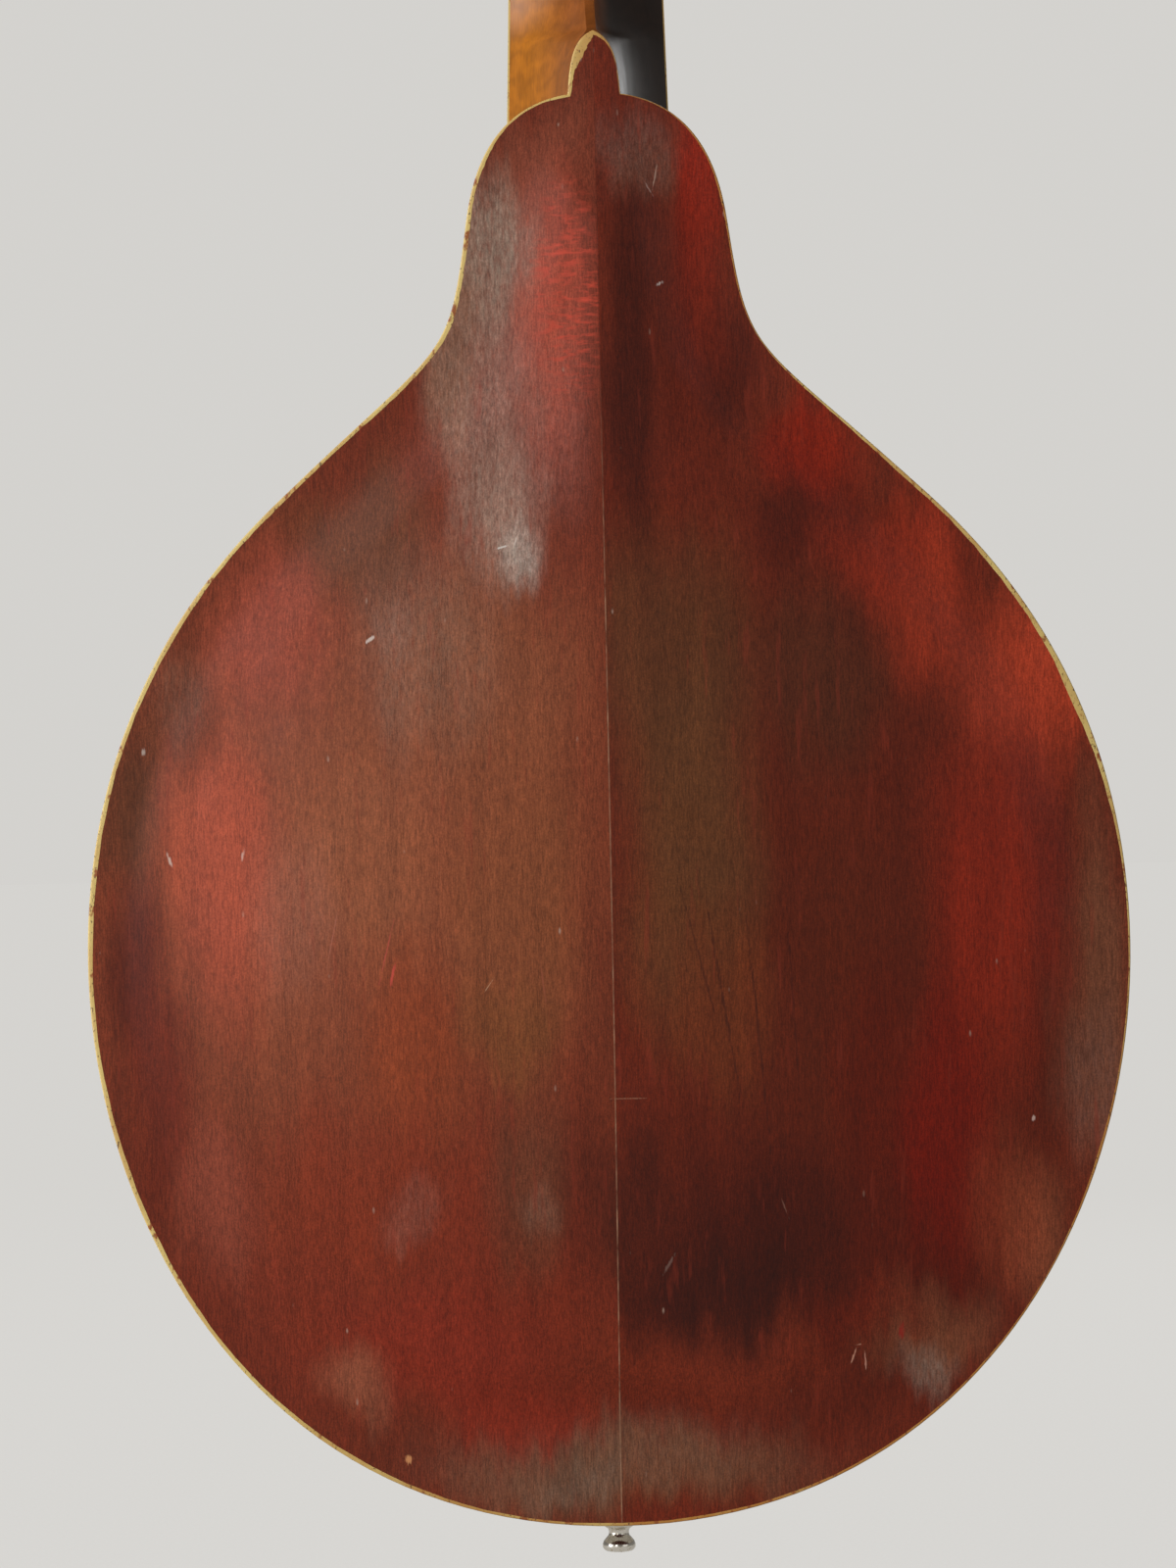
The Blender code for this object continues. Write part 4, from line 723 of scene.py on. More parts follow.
def makeTuners(gear, plateMetal, ivoroid):
    face = -(neck["headThickness"] + neck["veneer"])
    radius, waist, above = tuner["postRadius"], tuner["postWaist"], tuner["above"]
    postOutline = ((0.0066, 0.0012), (0.0064, 0.0022), (0.0058, 0.0026), (face - 0.0016, radius),
                   (face - 0.0021, radius - 0.0002), (face - 0.0026, waist), (face - 0.0092, waist),
                   (face - 0.0097, radius - 0.0002), (face - 0.0101, radius), (face - above + 0.0008, radius),
                   (face - above + 0.0003, radius - 0.0004), (face - above, radius - 0.0010))
    post, wheel, worm, button = turnedMesh("stringPost", postOutline), wheelMesh(), wormMesh(), buttonMesh()
    screw = ((0.0058, 0.0024), (0.0064, 0.0024), (0.0069, 0.0021), (0.0070, 0.0012))
    screwHead = turnedMesh("wheelScrew", screw, 28)
    for number in range(1, 9):
        side, row = (1, number - 1) if number < 5 else (-1, 8 - number)
        for word, mesh, finish, rider, solid, place in (
                ("stringPost", post, gear, "string_post", "post", postMatrix(side, row)),
                ("wormWheel", wheel, gear, "string_post", None, postMatrix(side, row)),
                ("wheelScrew", screwHead, plateMetal, "string_post", None, postMatrix(side, row)),
                ("wormShaft", worm, gear, "tuner_worm", "worm", wormMatrix(side, row)),
                ("tunerButton", button, ivoroid, "tuner_worm", "button", wormMatrix(side, row))):
            stands = (f"{solid}_{number}",) if solid else ()
            addPiece(f"{word}{number}", mesh.copy(), finish, f"{rider}_{number}", stands, place)


# Tailpiece cover, end pin and bridge

tailpiece = {
    "halfWidth": 0.0162,
    "sheet": 0.0010,
    "slope": 0.127,
    "start": 0.0050,
    "startY": 0.0139 + 0.0012,
    "hookPlace": 0.0110,
    "hookStep": 0.0037,
    "hookRadius": 0.0007,
    "coverHeight": 0.0078,
    "coverSheet": 0.0008,
    "coverShoulder": 0.62,      # below 1 its section is squarer than a half oval
    "coverProfile": ((-0.0040, 0.86), (-0.0015, 0.93), (0.0040, 1.0), (0.0280, 1.0), (0.0340, 0.96),
                     (0.0370, 0.88)),       # along the slope, share of the height
    "rimRise": 0.00025,
    "rimWidth": 0.0012,
    "panelRise": 0.00035,
    "panelMargin": 0.004,
}
slopeUp = Vector((0.0, tailpiece["slope"], 1.0)).normalized()
slopeFront = Vector((0.0, 1.0, -tailpiece["slope"])).normalized()
slopeOrigin = Vector((0.0, tailpiece["startY"], body["tailZ"] + tailpiece["start"]))


def onSlope(x, along, height):
    return slopeOrigin + slopeUp * along + slopeFront * height + Vector((x, 0.0, 0.0))


def makeCover(metal):
    # The stamped cover: a shell with a rolled rim at both ends and a shallow raised panel
    sheet, top = tailpiece["coverSheet"], tailpiece["coverHeight"]
    half = tailpiece["halfWidth"] + 2 * body["gap"] + sheet
    stations, shares = zip(*tailpiece["coverProfile"])
    rings, count, arcs = [], 44, 48
    for i in range(count + 1):
        along = stations[0] + (stations[-1] - stations[0]) * i / count
        height = top * float(np.interp(along, stations, shares))
        ends = min(along - stations[0], stations[-1] - along)
        lip = tailpiece["rimRise"] * (ends < tailpiece["rimWidth"])
        panel = tailpiece["panelRise"] * smoothstep((ends - tailpiece["panelMargin"]) / 0.0015)
        outer, inner = [], []
        for k in range(arcs + 1):
            turn = pi * k / arcs
            across = abs(cos(turn)) ** 0.5 * (1 if 2 * k < arcs else -1 if 2 * k > arcs else 0)
            rise = sin(turn) ** tailpiece["coverShoulder"] if 0 < k < arcs else 0.0
            raised = panel * smoothstep((rise - 0.86) / 0.06)
            outer.append((half * across, (height + lip) * rise - raised))
            inner.append(((half - sheet) * across, (height - sheet) * rise - raised))
        rings.append([onSlope(x, along, rise) for x, rise in outer + inner[::-1]])
    addPiece("tailpieceShell", loftMesh("tailpieceShell", rings, 0.8), metal, "tailpiece_cover",
             ("tailpiece_cover",))


def makeEndPin(metal):
    centreY = (body["topEdge"] + body["backEdge"]) / 2
    profile = [(0.0140, 0.0010), (0.0138, 0.0022), (-0.0016, 0.0024), (-0.0017, 0.0037), (-0.0020, 0.0039),
               (-0.0024, 0.0039), (-0.0028, 0.0036), (-0.0034, 0.0027), (-0.0042, 0.0025), (-0.0050, 0.0026),
               (-0.0057, 0.0032), (-0.0064, 0.0038), (-0.0072, 0.0041), (-0.0080, 0.0041), (-0.0086, 0.0037),
               (-0.0089, 0.0032), (-0.0090, 0.0026), (-0.0090, 0.0005)]
    place = Matrix.Translation((0.0, centreY, body["tailZ"] - body["gap"]))
    addPiece("endPin", turnedMesh("endPin", profile, 48, 0.9), metal, stands=("end_pin",), matrix=place)


bridge = {
    "columns": 120,
    "halfLength": 0.0560,
    "foot": 0.0095,
    "saddleHalf": 0.0255,
    "saddleDepth": 0.0030,
    "saddleHeight": 0.0094,
    "crestFall": 0.008,
    "arch": (0.008, 0.028, 0.0036),         # where it starts, how wide and how high it is
    "shoulder": (0.030, 0.026, 0.0038),     # where it starts to fall, over what and how far
    "shoulderLow": 0.0042,
    "tip": (0.006, 0.35),                   # over what the ends narrow, and by what share
}
bridge["z"] = -neck["scale"] * cos(neck["pitch"]) + bridge["saddleHeight"] * sin(neck["pitch"])
bridge["crownY"] = (neck["scale"] * sin(neck["pitch"]) + bridge["saddleHeight"] * cos(neck["pitch"])
                    - body["gap"])


def makeBridge(wood):
    # Columns from foot to foot: fitted feet, two open arches, a waist and a narrow crest
    half, foot, columns, crown = bridge["halfLength"], bridge["foot"], bridge["columns"], bridge["crownY"]
    (archStart, archSpan, archRise), (fallStart, fallSpan, fall) = bridge["arch"], bridge["shoulder"]
    places = [half * (i / (columns / 2) - 1) for i in range(columns + 1)]
    floors = topSurface([(x, bridge["z"] - body["tailZ"]) for x in places])
    rings = []
    for x, floor in zip(places, floors):
        reach = abs(x)
        arched = max(sin(pi * np.clip((reach - archStart) / archSpan, 0.0, 1.0)), 0.0) ** 0.8
        under = floor + 0.0001 + archRise * arched
        shoulder = floor + bridge["shoulderLow"] + fall * (1 - smoothstep((reach - fallStart) / fallSpan))
        beyond = smoothstep((reach - bridge["saddleHalf"]) / bridge["crestFall"])
        crest = crown + (shoulder - crown) * beyond
        topHalf = foot / 2 * 0.75 + (bridge["saddleDepth"] - foot * 0.75) / 2 * (1 - beyond)
        tip = 1 - bridge["tip"][1] * smoothstep((reach - half) / bridge["tip"][0] + 1)
        column = [(under, -0.5), (under, 0.5), (under + 0.0012, 0.5), (shoulder - 0.0012, 0.42),
                  (shoulder, 0.36)]
        ring = [(y, foot * share * tip) for y, share in column]
        ring += [(shoulder + (crest - shoulder) * 0.5, (foot * 0.36 * 0.55 + topHalf * 0.45) * tip),
                 (crest - 0.0003, topHalf * tip), (crest, (topHalf - 0.0003) * tip)]
        ring += [(y, -z) for y, z in ring[::-1] if z > 0]
        rings.append([(x, y, bridge["z"] + z) for y, z in ring])
    addPiece("bridgeWood", loftMesh("bridgeWood", rings, 0.5), wood, stands=("bridge",))


# Strings: loops, plain or wound wire, and the windings on the posts

stringSet = {
    "radii": (0.00050, 0.00031, 0.00019, 0.00015),
    "nutCourse": 0.0078, "nutPair": 0.0022, "saddleCourse": 0.0132, "saddlePair": 0.0030,
    "nutHeight": 0.0064, "saddleHeight": 0.0094,
    "loopWire": 0.0002,
    "loopHeight": 0.0014,       # the loop's wire above the tailpiece's sheet
    "loopNeck": ((-0.0004, 0.0056), (-0.0007, 0.0040)),     # from the twist down to the hook
    "loopFoot": 0.0016,
    "loopEnd": 0.0080,
    "turnPoints": 32, "windings": 2.5, "windGap": 0.00045, "windStart": 0.0034,
}


def windingPoints(start, post, radius, height):
    centre = Vector(post)
    away = Vector(start) - centre
    reach = tuner["postWaist"] + radius + 0.00002
    spread = Vector((reach / away.length, (1 - (reach / away.length) ** 2) ** 0.5))
    facing = atan2(away.y, away.x)
    options = [facing + sign * atan2(spread.y, spread.x) for sign in (1, -1)]
    first = min(options, key=lambda a: abs(centre.x + reach * cos(a)))
    sense = 1 if Vector((cos(first), sin(first))).cross(-away) > 0 else -1
    steps = stringSet["turnPoints"]
    points = []
    for i in range(int(steps * stringSet["windings"]) + 1):
        turn = first + sense * 2 * pi * i / steps
        points.append((centre.x + reach * cos(turn), centre.y + reach * sin(turn),
                       height + (2 * radius + stringSet["windGap"]) * i / steps))
    return points


def makeString(number, material):
    place = number - 1
    radius = stringSet["radii"][place // 2]
    side, row = (1, place) if place < 4 else (-1, 7 - place)
    atNut = (1.5 - place // 2) * stringSet["nutCourse"] + (0.5 - place % 2) * stringSet["nutPair"]
    atSaddle = (1.5 - place // 2) * stringSet["saddleCourse"] + (0.5 - place % 2) * stringSet["saddlePair"]
    hookX, wire = (4.5 - number) * tailpiece["hookStep"], stringSet["loopWire"]
    peg = tailpiece["hookRadius"] + wire + 0.00005
    hookPlace, loopHeight = tailpiece["hookPlace"], tailpiece["sheet"] + stringSet["loopHeight"]
    loop = [*stringSet["loopNeck"], (-peg, stringSet["loopFoot"])]
    loop += [(-peg * cos(a), -peg * sin(a)) for a in (pi * k / 12 for k in range(13))]
    loop += [(peg, stringSet["loopFoot"]), (0.0007, 0.0040), (0.0002, 0.0056)]
    route = [(onSlope(hookX + x, hookPlace + y, loopHeight), wire / radius) for x, y in loop]
    route.append((onSlope(hookX, hookPlace + stringSet["loopEnd"], loopHeight + radius), 1.0))
    height = stringSet["saddleHeight"] + radius
    route.append((neckFrame @ Vector((atSaddle, neck["scale"], height)), 1.0))
    route.append((neckFrame @ Vector((atNut, 0.0, stringSet["nutHeight"] + radius)), 1.0))
    behindNut = neckFrame @ Vector((atNut, -neck["nutThickness"], stringSet["nutHeight"] + radius))
    route.append((behindNut, 1.0))
    local = headFrame.inverted() @ behindNut
    x, up = postPlace(side, row)
    turns = windingPoints((local.x, local.y), (x, -up), radius, neck["veneer"] + stringSet["windStart"])
    route += [(headFrame @ Vector(p), 1.0) for p in turns]
    curve = bpy.data.curves.new(f"string{number}", "CURVE")
    curve.dimensions = "3D"
    curve.bevel_depth = radius
    curve.bevel_resolution = 4
    curve.use_fill_caps = True
    spline = curve.splines.new("POLY")
    spline.points.add(len(route) - 1)
    for target, (point, width) in zip(spline.points, route):
        target.co = (*point, 1.0)
        target.radius = width
    addPiece(f"string{number}", curve, material, stands=(f"string_{number}",))


# Materials

# The back's patches of colour: the stain's own tone, with painted light and shade in it as well, lighter on
# the treble flank of the ridge and the bass recurve, painted shade on the bass flank and along the treble
# edge;
# across from the seam and up from the tail in mm, half width, half height, colour, and how far it covers
shading = {
    "base": "#642a1a",
    "seamReach": 5,             # a patch nearer the seam than this spreads over both halves
    # what the varnish lets through of red, green and blue on the bass and the treble half; the bass half's
    # darker film is painted shade, the treble half's paler one painted light
    "filmsAndPaintedLight": ((0.92, 0.60, 0.38), (1.0, 0.80, 0.60)),
    "patchesWithPaintedLight": (
        (-60, 165, 70, 90, "#7f4a35", 0.8), (60, 165, 70, 90, "#5a2415", 0.8),
        (-40, 60, 60, 45, "#702c1d", 0.8), (55, 65, 60, 45, "#4e1d10", 0.8),
        # the patches by the ridge hold a painted highlight on its treble flank and painted shade on its bass
        # flank
        (0, 300, 45, 60, "#642c20", 0.7), (-14, 335, 20, 16, "#754033", 0.8),
        (-12, 296, 9, 36, "#98483a", 0.75), (-36, 290, 6, 28, "#7c5c4c", 0.6),
        (6, 285, 7, 62, "#3f170c", 0.85), (12, 333, 10, 9, "#6a3e30", 0.6),
        (22, 296, 12, 40, "#58200f", 0.7), (24, 328, 6, 22, "#8a2616", 0.85),
        (33, 290, 6, 20, "#43170c", 0.6), (-60, 245, 20, 16, "#5e3a26", 0.7),
        (-57, 238, 10, 18, "#5d3b2d", 0.6), (-83, 220, 16, 24, "#8a4236", 0.7),
        (-28, 205, 24, 30, "#7a4a35", 0.8), (16, 210, 22, 36, "#593e2b", 0.85),
        (50, 245, 16, 14, "#4a1a0e", 0.8), (72, 240, 20, 14, "#883220", 0.8),
        (47, 264, 10, 8, "#6d2416", 0.6), (80, 222, 14, 20, "#963c28", 0.75),
        (104, 202, 16, 28, "#ac4a36", 0.85), (52, 205, 20, 26, "#4e2e20", 0.8),
        (-117, 182, 9, 22, "#50301f", 0.8), (-93, 162, 16, 36, "#9a4a38", 0.85),
        (-60, 165, 20, 30, "#85523b", 0.8), (-50, 120, 18, 24, "#7a3a20", 0.8),
        (-22, 150, 18, 40, "#7a4a32", 0.75), (-26, 122, 12, 14, "#6d4428", 0.7),
        (9, 150, 6, 30, "#6e3e28", 0.5), (44, 140, 30, 45, "#552616", 0.75),
        (94, 148, 17, 45, "#862c1a", 0.85), (119, 130, 9, 48, "#705044", 0.85),
        (-113, 110, 8, 36, "#5c2010", 0.85), (-98, 80, 12, 20, "#7a4034", 0.7),
        (-62, 85, 26, 22, "#74301c", 0.7), (-22, 83, 11, 24, "#5e3a2c", 0.75),
        (4, 78, 18, 24, "#451c11", 0.8), (38, 72, 24, 22, "#3e160b", 0.85),
        (74, 75, 18, 28, "#561c0d", 0.8), (-42, 44, 28, 18, "#7a2c1f", 0.8),
        (-22, 28, 20, 10, "#7c2a1c", 0.7), (26, 42, 30, 12, "#763626", 0.8),
        (74, 46, 16, 14, "#7a5648", 0.8), (4, 12, 46, 12, "#6a4c3c", 0.85),
        (-55, 22, 18, 12, "#5f2a1a", 0.7), (104, 70, 10, 18, "#704c3e", 0.75),
        (97, 76, 12, 22, "#8c4c3a", 0.75), (60, 52, 18, 9, "#682616", 0.7),
        (26, 56, 28, 16, "#35130a", 0.85), (-64, 36, 10, 10, "#8a5a4a", 0.6),
        (24, 312, 8, 30, "#74281a", 0.5), (20, 163, 18, 46, "#5f4630", 0.8),
        (63, 114, 12, 30, "#5c1a08", 0.6), (82, 98, 13, 34, "#741808", 0.7),
        (52, 264, 12, 14, "#82240f", 0.7), (-101, 198, 9, 16, "#5e2c1c", 0.7),
        (-117, 143, 7, 22, "#4c180a", 0.8), (27, 128, 12, 20, "#6e3c24", 0.6)),
    # dull bloom in the worn varnish, and a painted sheen of the lamp on the treble flank of the ridge, laid
    # out in the same way
    "bloomAndPaintedSheen": (
        (-27, 314, 11, 22, "#9c8b7a", 0.68), (-29, 278, 14, 24, "#957868", 0.52),
        (-24, 248, 11, 20, "#9c8676", 0.64), (-20, 240, 6, 10, "#ab9e92", 0.65),
        (-52, 220, 6, 8, "#8f6a5c", 0.35), (-51, 80, 10, 9, "#865648", 0.45),
        (-20, 78, 5, 7, "#7a5a4a", 0.40), (74, 37, 9, 8, "#78665a", 0.65), (-8, 10, 16, 6, "#6a5648", 0.45),
        (118, 108, 7, 24, "#664840", 0.40), (-104, 205, 9, 16, "#6c5040", 0.40),
        (-78, 150, 10, 20, "#94604e", 0.30), (-44, 214, 18, 26, "#7c6252", 0.45),
        (9, 338, 11, 12, "#6a4e44", 0.55), (0, 15, 50, 12, "#6e584a", 0.30),
        (-14, 268, 12, 26, "#8c5a50", 0.35)),
    "curl": (-7, 303, 9, 27, "#b5402c"),
    # scratches and dents: across, up, turn in degrees from upright, length, width, colour, strength
    "marks": (
        (14.5, 331, 12, 7.0, 0.45, "#a08070", 0.8), (12.8, 328, -30, 4.0, 0.40, "#94736a", 0.7),
        (15.0, 304.5, 60, 2.2, 0.9, "#b9a9a0", 0.8), (-57.5, 218.5, 55, 3.0, 0.9, "#c9b7ac", 0.8),
        (-24.5, 240.5, 75, 4.0, 0.5, "#c9c0b8", 0.8), (-21.5, 242.0, 20, 4.0, 0.35, "#c4bab0", 0.7),
        (57.5, 40.5, 20, 4.5, 0.45, "#c08870", 0.8), (60.5, 39.5, -5, 4.5, 0.45, "#b98470", 0.8),
        (59.0, 43.5, 80, 1.8, 0.4, "#c08870", 0.7), (69.5, 46.5, 0, 4.0, 1.6, "#8c1f18", 0.75),
        (3.5, 105.5, 90, 9.0, 0.35, "#8a5a44", 0.7), (-55.0, 142.0, 14, 16.0, 0.45, "#b0483a", 0.6),
        (-53.5, 137.0, 12, 6.0, 0.8, "#c0473a", 0.7), (-68.0, 146.0, 12, 14.0, 0.30, "#a3604c", 0.6),
        (-30.0, 134.0, 35, 4.0, 0.35, "#b08a6c", 0.7), (-17.0, 134.0, -6, 12.0, 0.5, "#8f4a34", 0.5),
        (103.0, 98.0, 10, 1.4, 0.9, "#c9a99c", 0.8), (-113.5, 192.0, 0, 2.0, 0.8, "#b4a297", 0.7),
        (-3.0, 361.5, 4, 4.5, 0.40, "#b8a08c", 0.6), (-107.5, 165.5, -20, 3.4, 0.7, "#c2a89a", 0.7),
        (-89.5, 166.5, 12, 3.6, 0.6, "#c9a99c", 0.6), (-52.0, 17.5, 0, 2.0, 1.8, "#c98a5a", 0.8),
        (41.0, 78.0, -20, 4.5, 0.35, "#7d5648", 0.6), (12.5, 64.5, 30, 5.0, 0.8, "#7d6258", 0.5),
        (27.0, 128.0, -9, 58.0, 0.8, "#32110a", 0.5), (35.5, 118.0, -5, 64.0, 0.7, "#32110a", 0.5),
        (21.0, 140.0, -14, 36.0, 0.6, "#32110a", 0.45), (44.0, 126.0, -3, 48.0, 0.6, "#32110a", 0.4)),
}


def streaks(tree, where, size, low, high, detail=2.0):
    # Soft streaks of the given size in mm along x, y and z, as a level between low and high
    spread = addNode(tree, "VectorMath", {0: where, 1: tuple(1000 / mm for mm in size)},
                     operation="MULTIPLY")
    pattern = addNode(tree, "TexNoise", {"Vector": spread, "Scale": 1.0, "Detail": detail,
                                         "Roughness": 0.6})
    return addNode(tree, "MapRange", {"Value": pattern, "From Min": 0.3, "From Max": 0.7, "To Min": low,
                                      "To Max": high})


def reachFrom(tree, where, x, t, halfWidth, halfHeight):
    # Distance from a patch's middle, 1 at its rim; all in mm, across from the seam and up from the tail
    centre = (x / 1000, 0.0, body["tailZ"] + t / 1000)
    offset = addNode(tree, "VectorMath", {0: where, 1: centre}, operation="SUBTRACT")
    scaled = addNode(tree, "VectorMath", {0: offset, 1: (1000 / halfWidth, 0.0, 1000 / halfHeight)},
                     operation="MULTIPLY")
    return addNode(tree, "VectorMath", {0: scaled}, out=1, operation="LENGTH")


def wanderingPlace(tree, where):
    # The place on the back, shifted so that borders wander upright with the grain: in waves of 25 mm,
    # then in ones of 4 mm
    place = where
    for stretch, reach in (((40.0, 1.0, 11.0), (0.020, 0.0, 0.045)),
                           ((260.0, 1.0, 45.0), (0.005, 0.0, 0.014))):
        wander = addNode(tree, "VectorMath", {0: where, 1: stretch}, operation="MULTIPLY")
        wander = addNode(tree, "TexNoise", {"Vector": wander, "Scale": 1.0, "Detail": 3.0,
                                            "Roughness": 0.6}, out=1)
        wander = addNode(tree, "VectorMath", {0: wander, 1: (0.5, 0.5, 0.5)}, operation="SUBTRACT")
        wander = addNode(tree, "VectorMath", {0: wander, 1: reach}, operation="MULTIPLY")
        place = addNode(tree, "VectorMath", {0: place, 1: wander}, operation="ADD")
    return place


def layPatches(tree, place, shade, halves, patchesWithPaintedLight, broken=None):
    # Soft patches, each over the ones before it; broken is where the grain interrupts them
    for x, t, halfWidth, halfHeight, colour, cover in patchesWithPaintedLight:
        reach = reachFrom(tree, place, x, t, halfWidth, halfHeight)
        mask = addNode(tree, "MapRange", {"Value": reach, "From Min": 1.35, "From Max": 0.30,
                                          "To Max": cover}, interpolation_type="SMOOTHSTEP")
        # the cut at the seam also parts the painted light of the ridge's treble flank sharply from the
        # painted shade of its bass flank
        if abs(x) > shading["seamReach"]:      # the halves took the stain apart, so it stops at the seam
            mask = addNode(tree, "Math", {0: mask, 1: halves[x < 0]}, operation="MULTIPLY")
        if broken is not None:
            mask = addNode(tree, "Math", {0: mask, 1: broken}, operation="MULTIPLY")
        shade = addNode(tree, "Mix", {0: mask, 6: shade, 7: linear(colour)}, **colourMix)
    return shade


def layCurl(tree, where, shade, treble):
    # Curl in the maple beside the ridge: short bright ripples 1.3 mm apart
    *spot, colour = shading["curl"]
    near = addNode(tree, "MapRange", {"Value": reachFrom(tree, where, *spot), "From Min": 1.2,
                                      "From Max": 0.5})
    ripples = streaks(tree, where, (4.5, 4.5, 1.3), -0.9, 1.1, 3.0)
    for mask in (near, treble):
        ripples = addNode(tree, "Math", {0: ripples, 1: mask}, operation="MULTIPLY", use_clamp=True)
    return addNode(tree, "Mix", {0: ripples, 6: shade, 7: linear(colour)}, **colourMix)


def layMarks(tree, where, shade, pores):
    # Scratches, dents and dark lines of grain, each a thin oval with its border torn by the pores
    for x, t, turn, length, width, colour, strength in shading["marks"]:
        a = radians(turn)
        offset = addNode(tree, "VectorMath",
                         {0: where, 1: (x / 1000, 0.0, body["tailZ"] + t / 1000)}, operation="SUBTRACT")
        sizes = []
        for direction, size in (((cos(a), 0.0, -sin(a)), width), ((sin(a), 0.0, cos(a)), length)):
            part = addNode(tree, "VectorMath", {0: offset, 1: direction}, out=1, operation="DOT_PRODUCT")
            sizes.append(addNode(tree, "Math", {0: part, 1: 2000 / size}, operation="MULTIPLY"))
        both = addNode(tree, "CombineXYZ", {0: sizes[0], 1: sizes[1]})
        both = addNode(tree, "VectorMath", {0: both}, out=1, operation="LENGTH")
        torn = addNode(tree, "Math", {0: pores, 1: both}, operation="ADD")
        mask = addNode(tree, "MapRange", {"Value": torn, "From Min": 1.6, "From Max": 1.0,
                                          "To Max": strength})
        shade = addNode(tree, "Mix", {0: mask, 6: shade, 7: linear(colour)}, **colourMix)
    return shade


def laySeam(tree, where, shade):
    # The glued centre seam, a pale line a quarter of a millimetre wide that fades out up the ridge
    apart = addNode(tree, "SeparateXYZ", {0: where})
    away = addNode(tree, "Math", {0: apart}, operation="ABSOLUTE")
    seam = addNode(tree, "MapRange", {"Value": away, "From Min": 0.00020, "From Max": 0.00008,
                                      "To Max": 0.75})
    broken = streaks(tree, where, (4.8, 4.8, 4.8), 0.0, 1.2, 4.0)
    seam = addNode(tree, "Math", {0: seam, 1: broken}, operation="MULTIPLY")
    lower = addNode(tree, "MapRange", {"Value": apart.node.outputs[2], "From Min": body["tailZ"] + 0.285,
                                       "From Max": body["tailZ"] + 0.215})
    seam = addNode(tree, "Math", {0: seam, 1: lower}, operation="MULTIPLY", use_clamp=True)
    return addNode(tree, "Mix", {0: seam, 6: shade, 7: linear("#b4886a")}, **colourMix)


def redVarnish(name, patched):
    # Stained maple under an old spirit varnish: deep red shaded to brown, with painted light and shade in its
    # patches, short upright pores that took the stain, brighter red where it has rubbed, a soft worn gloss
    # with dull bloom and a painted sheen, flecks and small scratches
    material, tree, shader, where = newMaterial(name)
    shade = addNode(tree, "RGB")
    shade.default_value = linear(shading["base"])
    bass = addNode(tree, "SeparateXYZ", {0: where})
    bass = addNode(tree, "MapRange", {"Value": bass, "From Min": -0.0003, "From Max": 0.0003})
    treble = addNode(tree, "Math", {0: 1.0, 1: bass}, operation="SUBTRACT")
    if patched:
        place, halves = wanderingPlace(tree, where), (bass, treble)
        shade = layPatches(tree, place, shade, halves, shading["patchesWithPaintedLight"])
        # the varnish film itself swallows blue and some green, more on the bass half as painted shade, less
        # on the treble half as painted light
        filmAndPaintedLight = addNode(tree, "Mix", {0: bass, 6: (*shading["filmsAndPaintedLight"][1], 1.0),
                                     7: (*shading["filmsAndPaintedLight"][0], 1.0)}, **colourMix)
        shade = addNode(tree, "VectorMath", {0: shade, 1: filmAndPaintedLight}, operation="MULTIPLY")
        broken = streaks(tree, where, (0.9, 0.9, 2.6), 0.35, 1.0, 4.0)
        shade = layPatches(tree, place, shade, halves, shading["bloomAndPaintedSheen"], broken)
    # pores 0.4 mm wide and 3 mm long, broader streaks 4 mm wide and 60 mm long, and a fine speckle
    pores = streaks(tree, where, (0.4, 0.4, 2.8), 0.0, 1.0)
    light = addNode(tree, "MapRange", {"Value": pores, "To Min": 0.70, "To Max": 1.30})
    for pattern in (((4.3, 4.3, 60.0), 0.86, 1.14, 4.0), ((0.35, 0.35, 0.5), 0.80, 1.20, 1.0)):
        level = streaks(tree, where, *pattern)
        light = addNode(tree, "Math", {0: light, 1: level}, operation="MULTIPLY")
    shade = addNode(tree, "VectorMath", {0: shade, 3: light}, operation="SCALE")
    # rubbed streaks of clear bright red, 2 mm wide and 30 mm long
    rubbed = streaks(tree, where, (2.3, 2.3, 30.0), -0.8, 0.28, 3.0)
    shade = addNode(tree, "Mix", {0: rubbed, 6: shade, 7: linear("#86301f")}, **colourMix)
    # pale flecks a third of a millimetre across, here and there
    flecks = addNode(tree, "VectorMath", {0: where, 1: (260.0, 260.0, 90.0)}, operation="MULTIPLY")
    flecks = addNode(tree, "TexVoronoi", {"Vector": flecks, "Scale": 1.0})
    flecks = addNode(tree, "MapRange", {"Value": flecks, "From Min": 0.10, "From Max": 0.05})
    few = streaks(tree, where, (6.7, 6.7, 6.7), -1.8, 0.7)
    flecks = addNode(tree, "Math", {0: flecks, 1: few}, operation="MULTIPLY", use_clamp=True)
    shade = addNode(tree, "Mix", {0: flecks, 6: shade, 7: linear("#a08272")}, **colourMix)
    if patched:
        shade = layCurl(tree, where, shade, treble)
        shade = layMarks(tree, where, shade, pores)
        shade = laySeam(tree, where, shade)
    relief = addNode(tree, "Bump", {"Height": pores, "Strength": 0.20, "Distance": 0.0001})
    feed(tree, shader, {"Base Color": shade, "Normal": relief, "Specular IOR Level": 0.14,
                        "Roughness": streaks(tree, where, (17.0, 17.0, 17.0), 0.38, 0.60, 5.0),
                        "Coat Weight": 0.05, "Coat Roughness": 0.20})
    return material


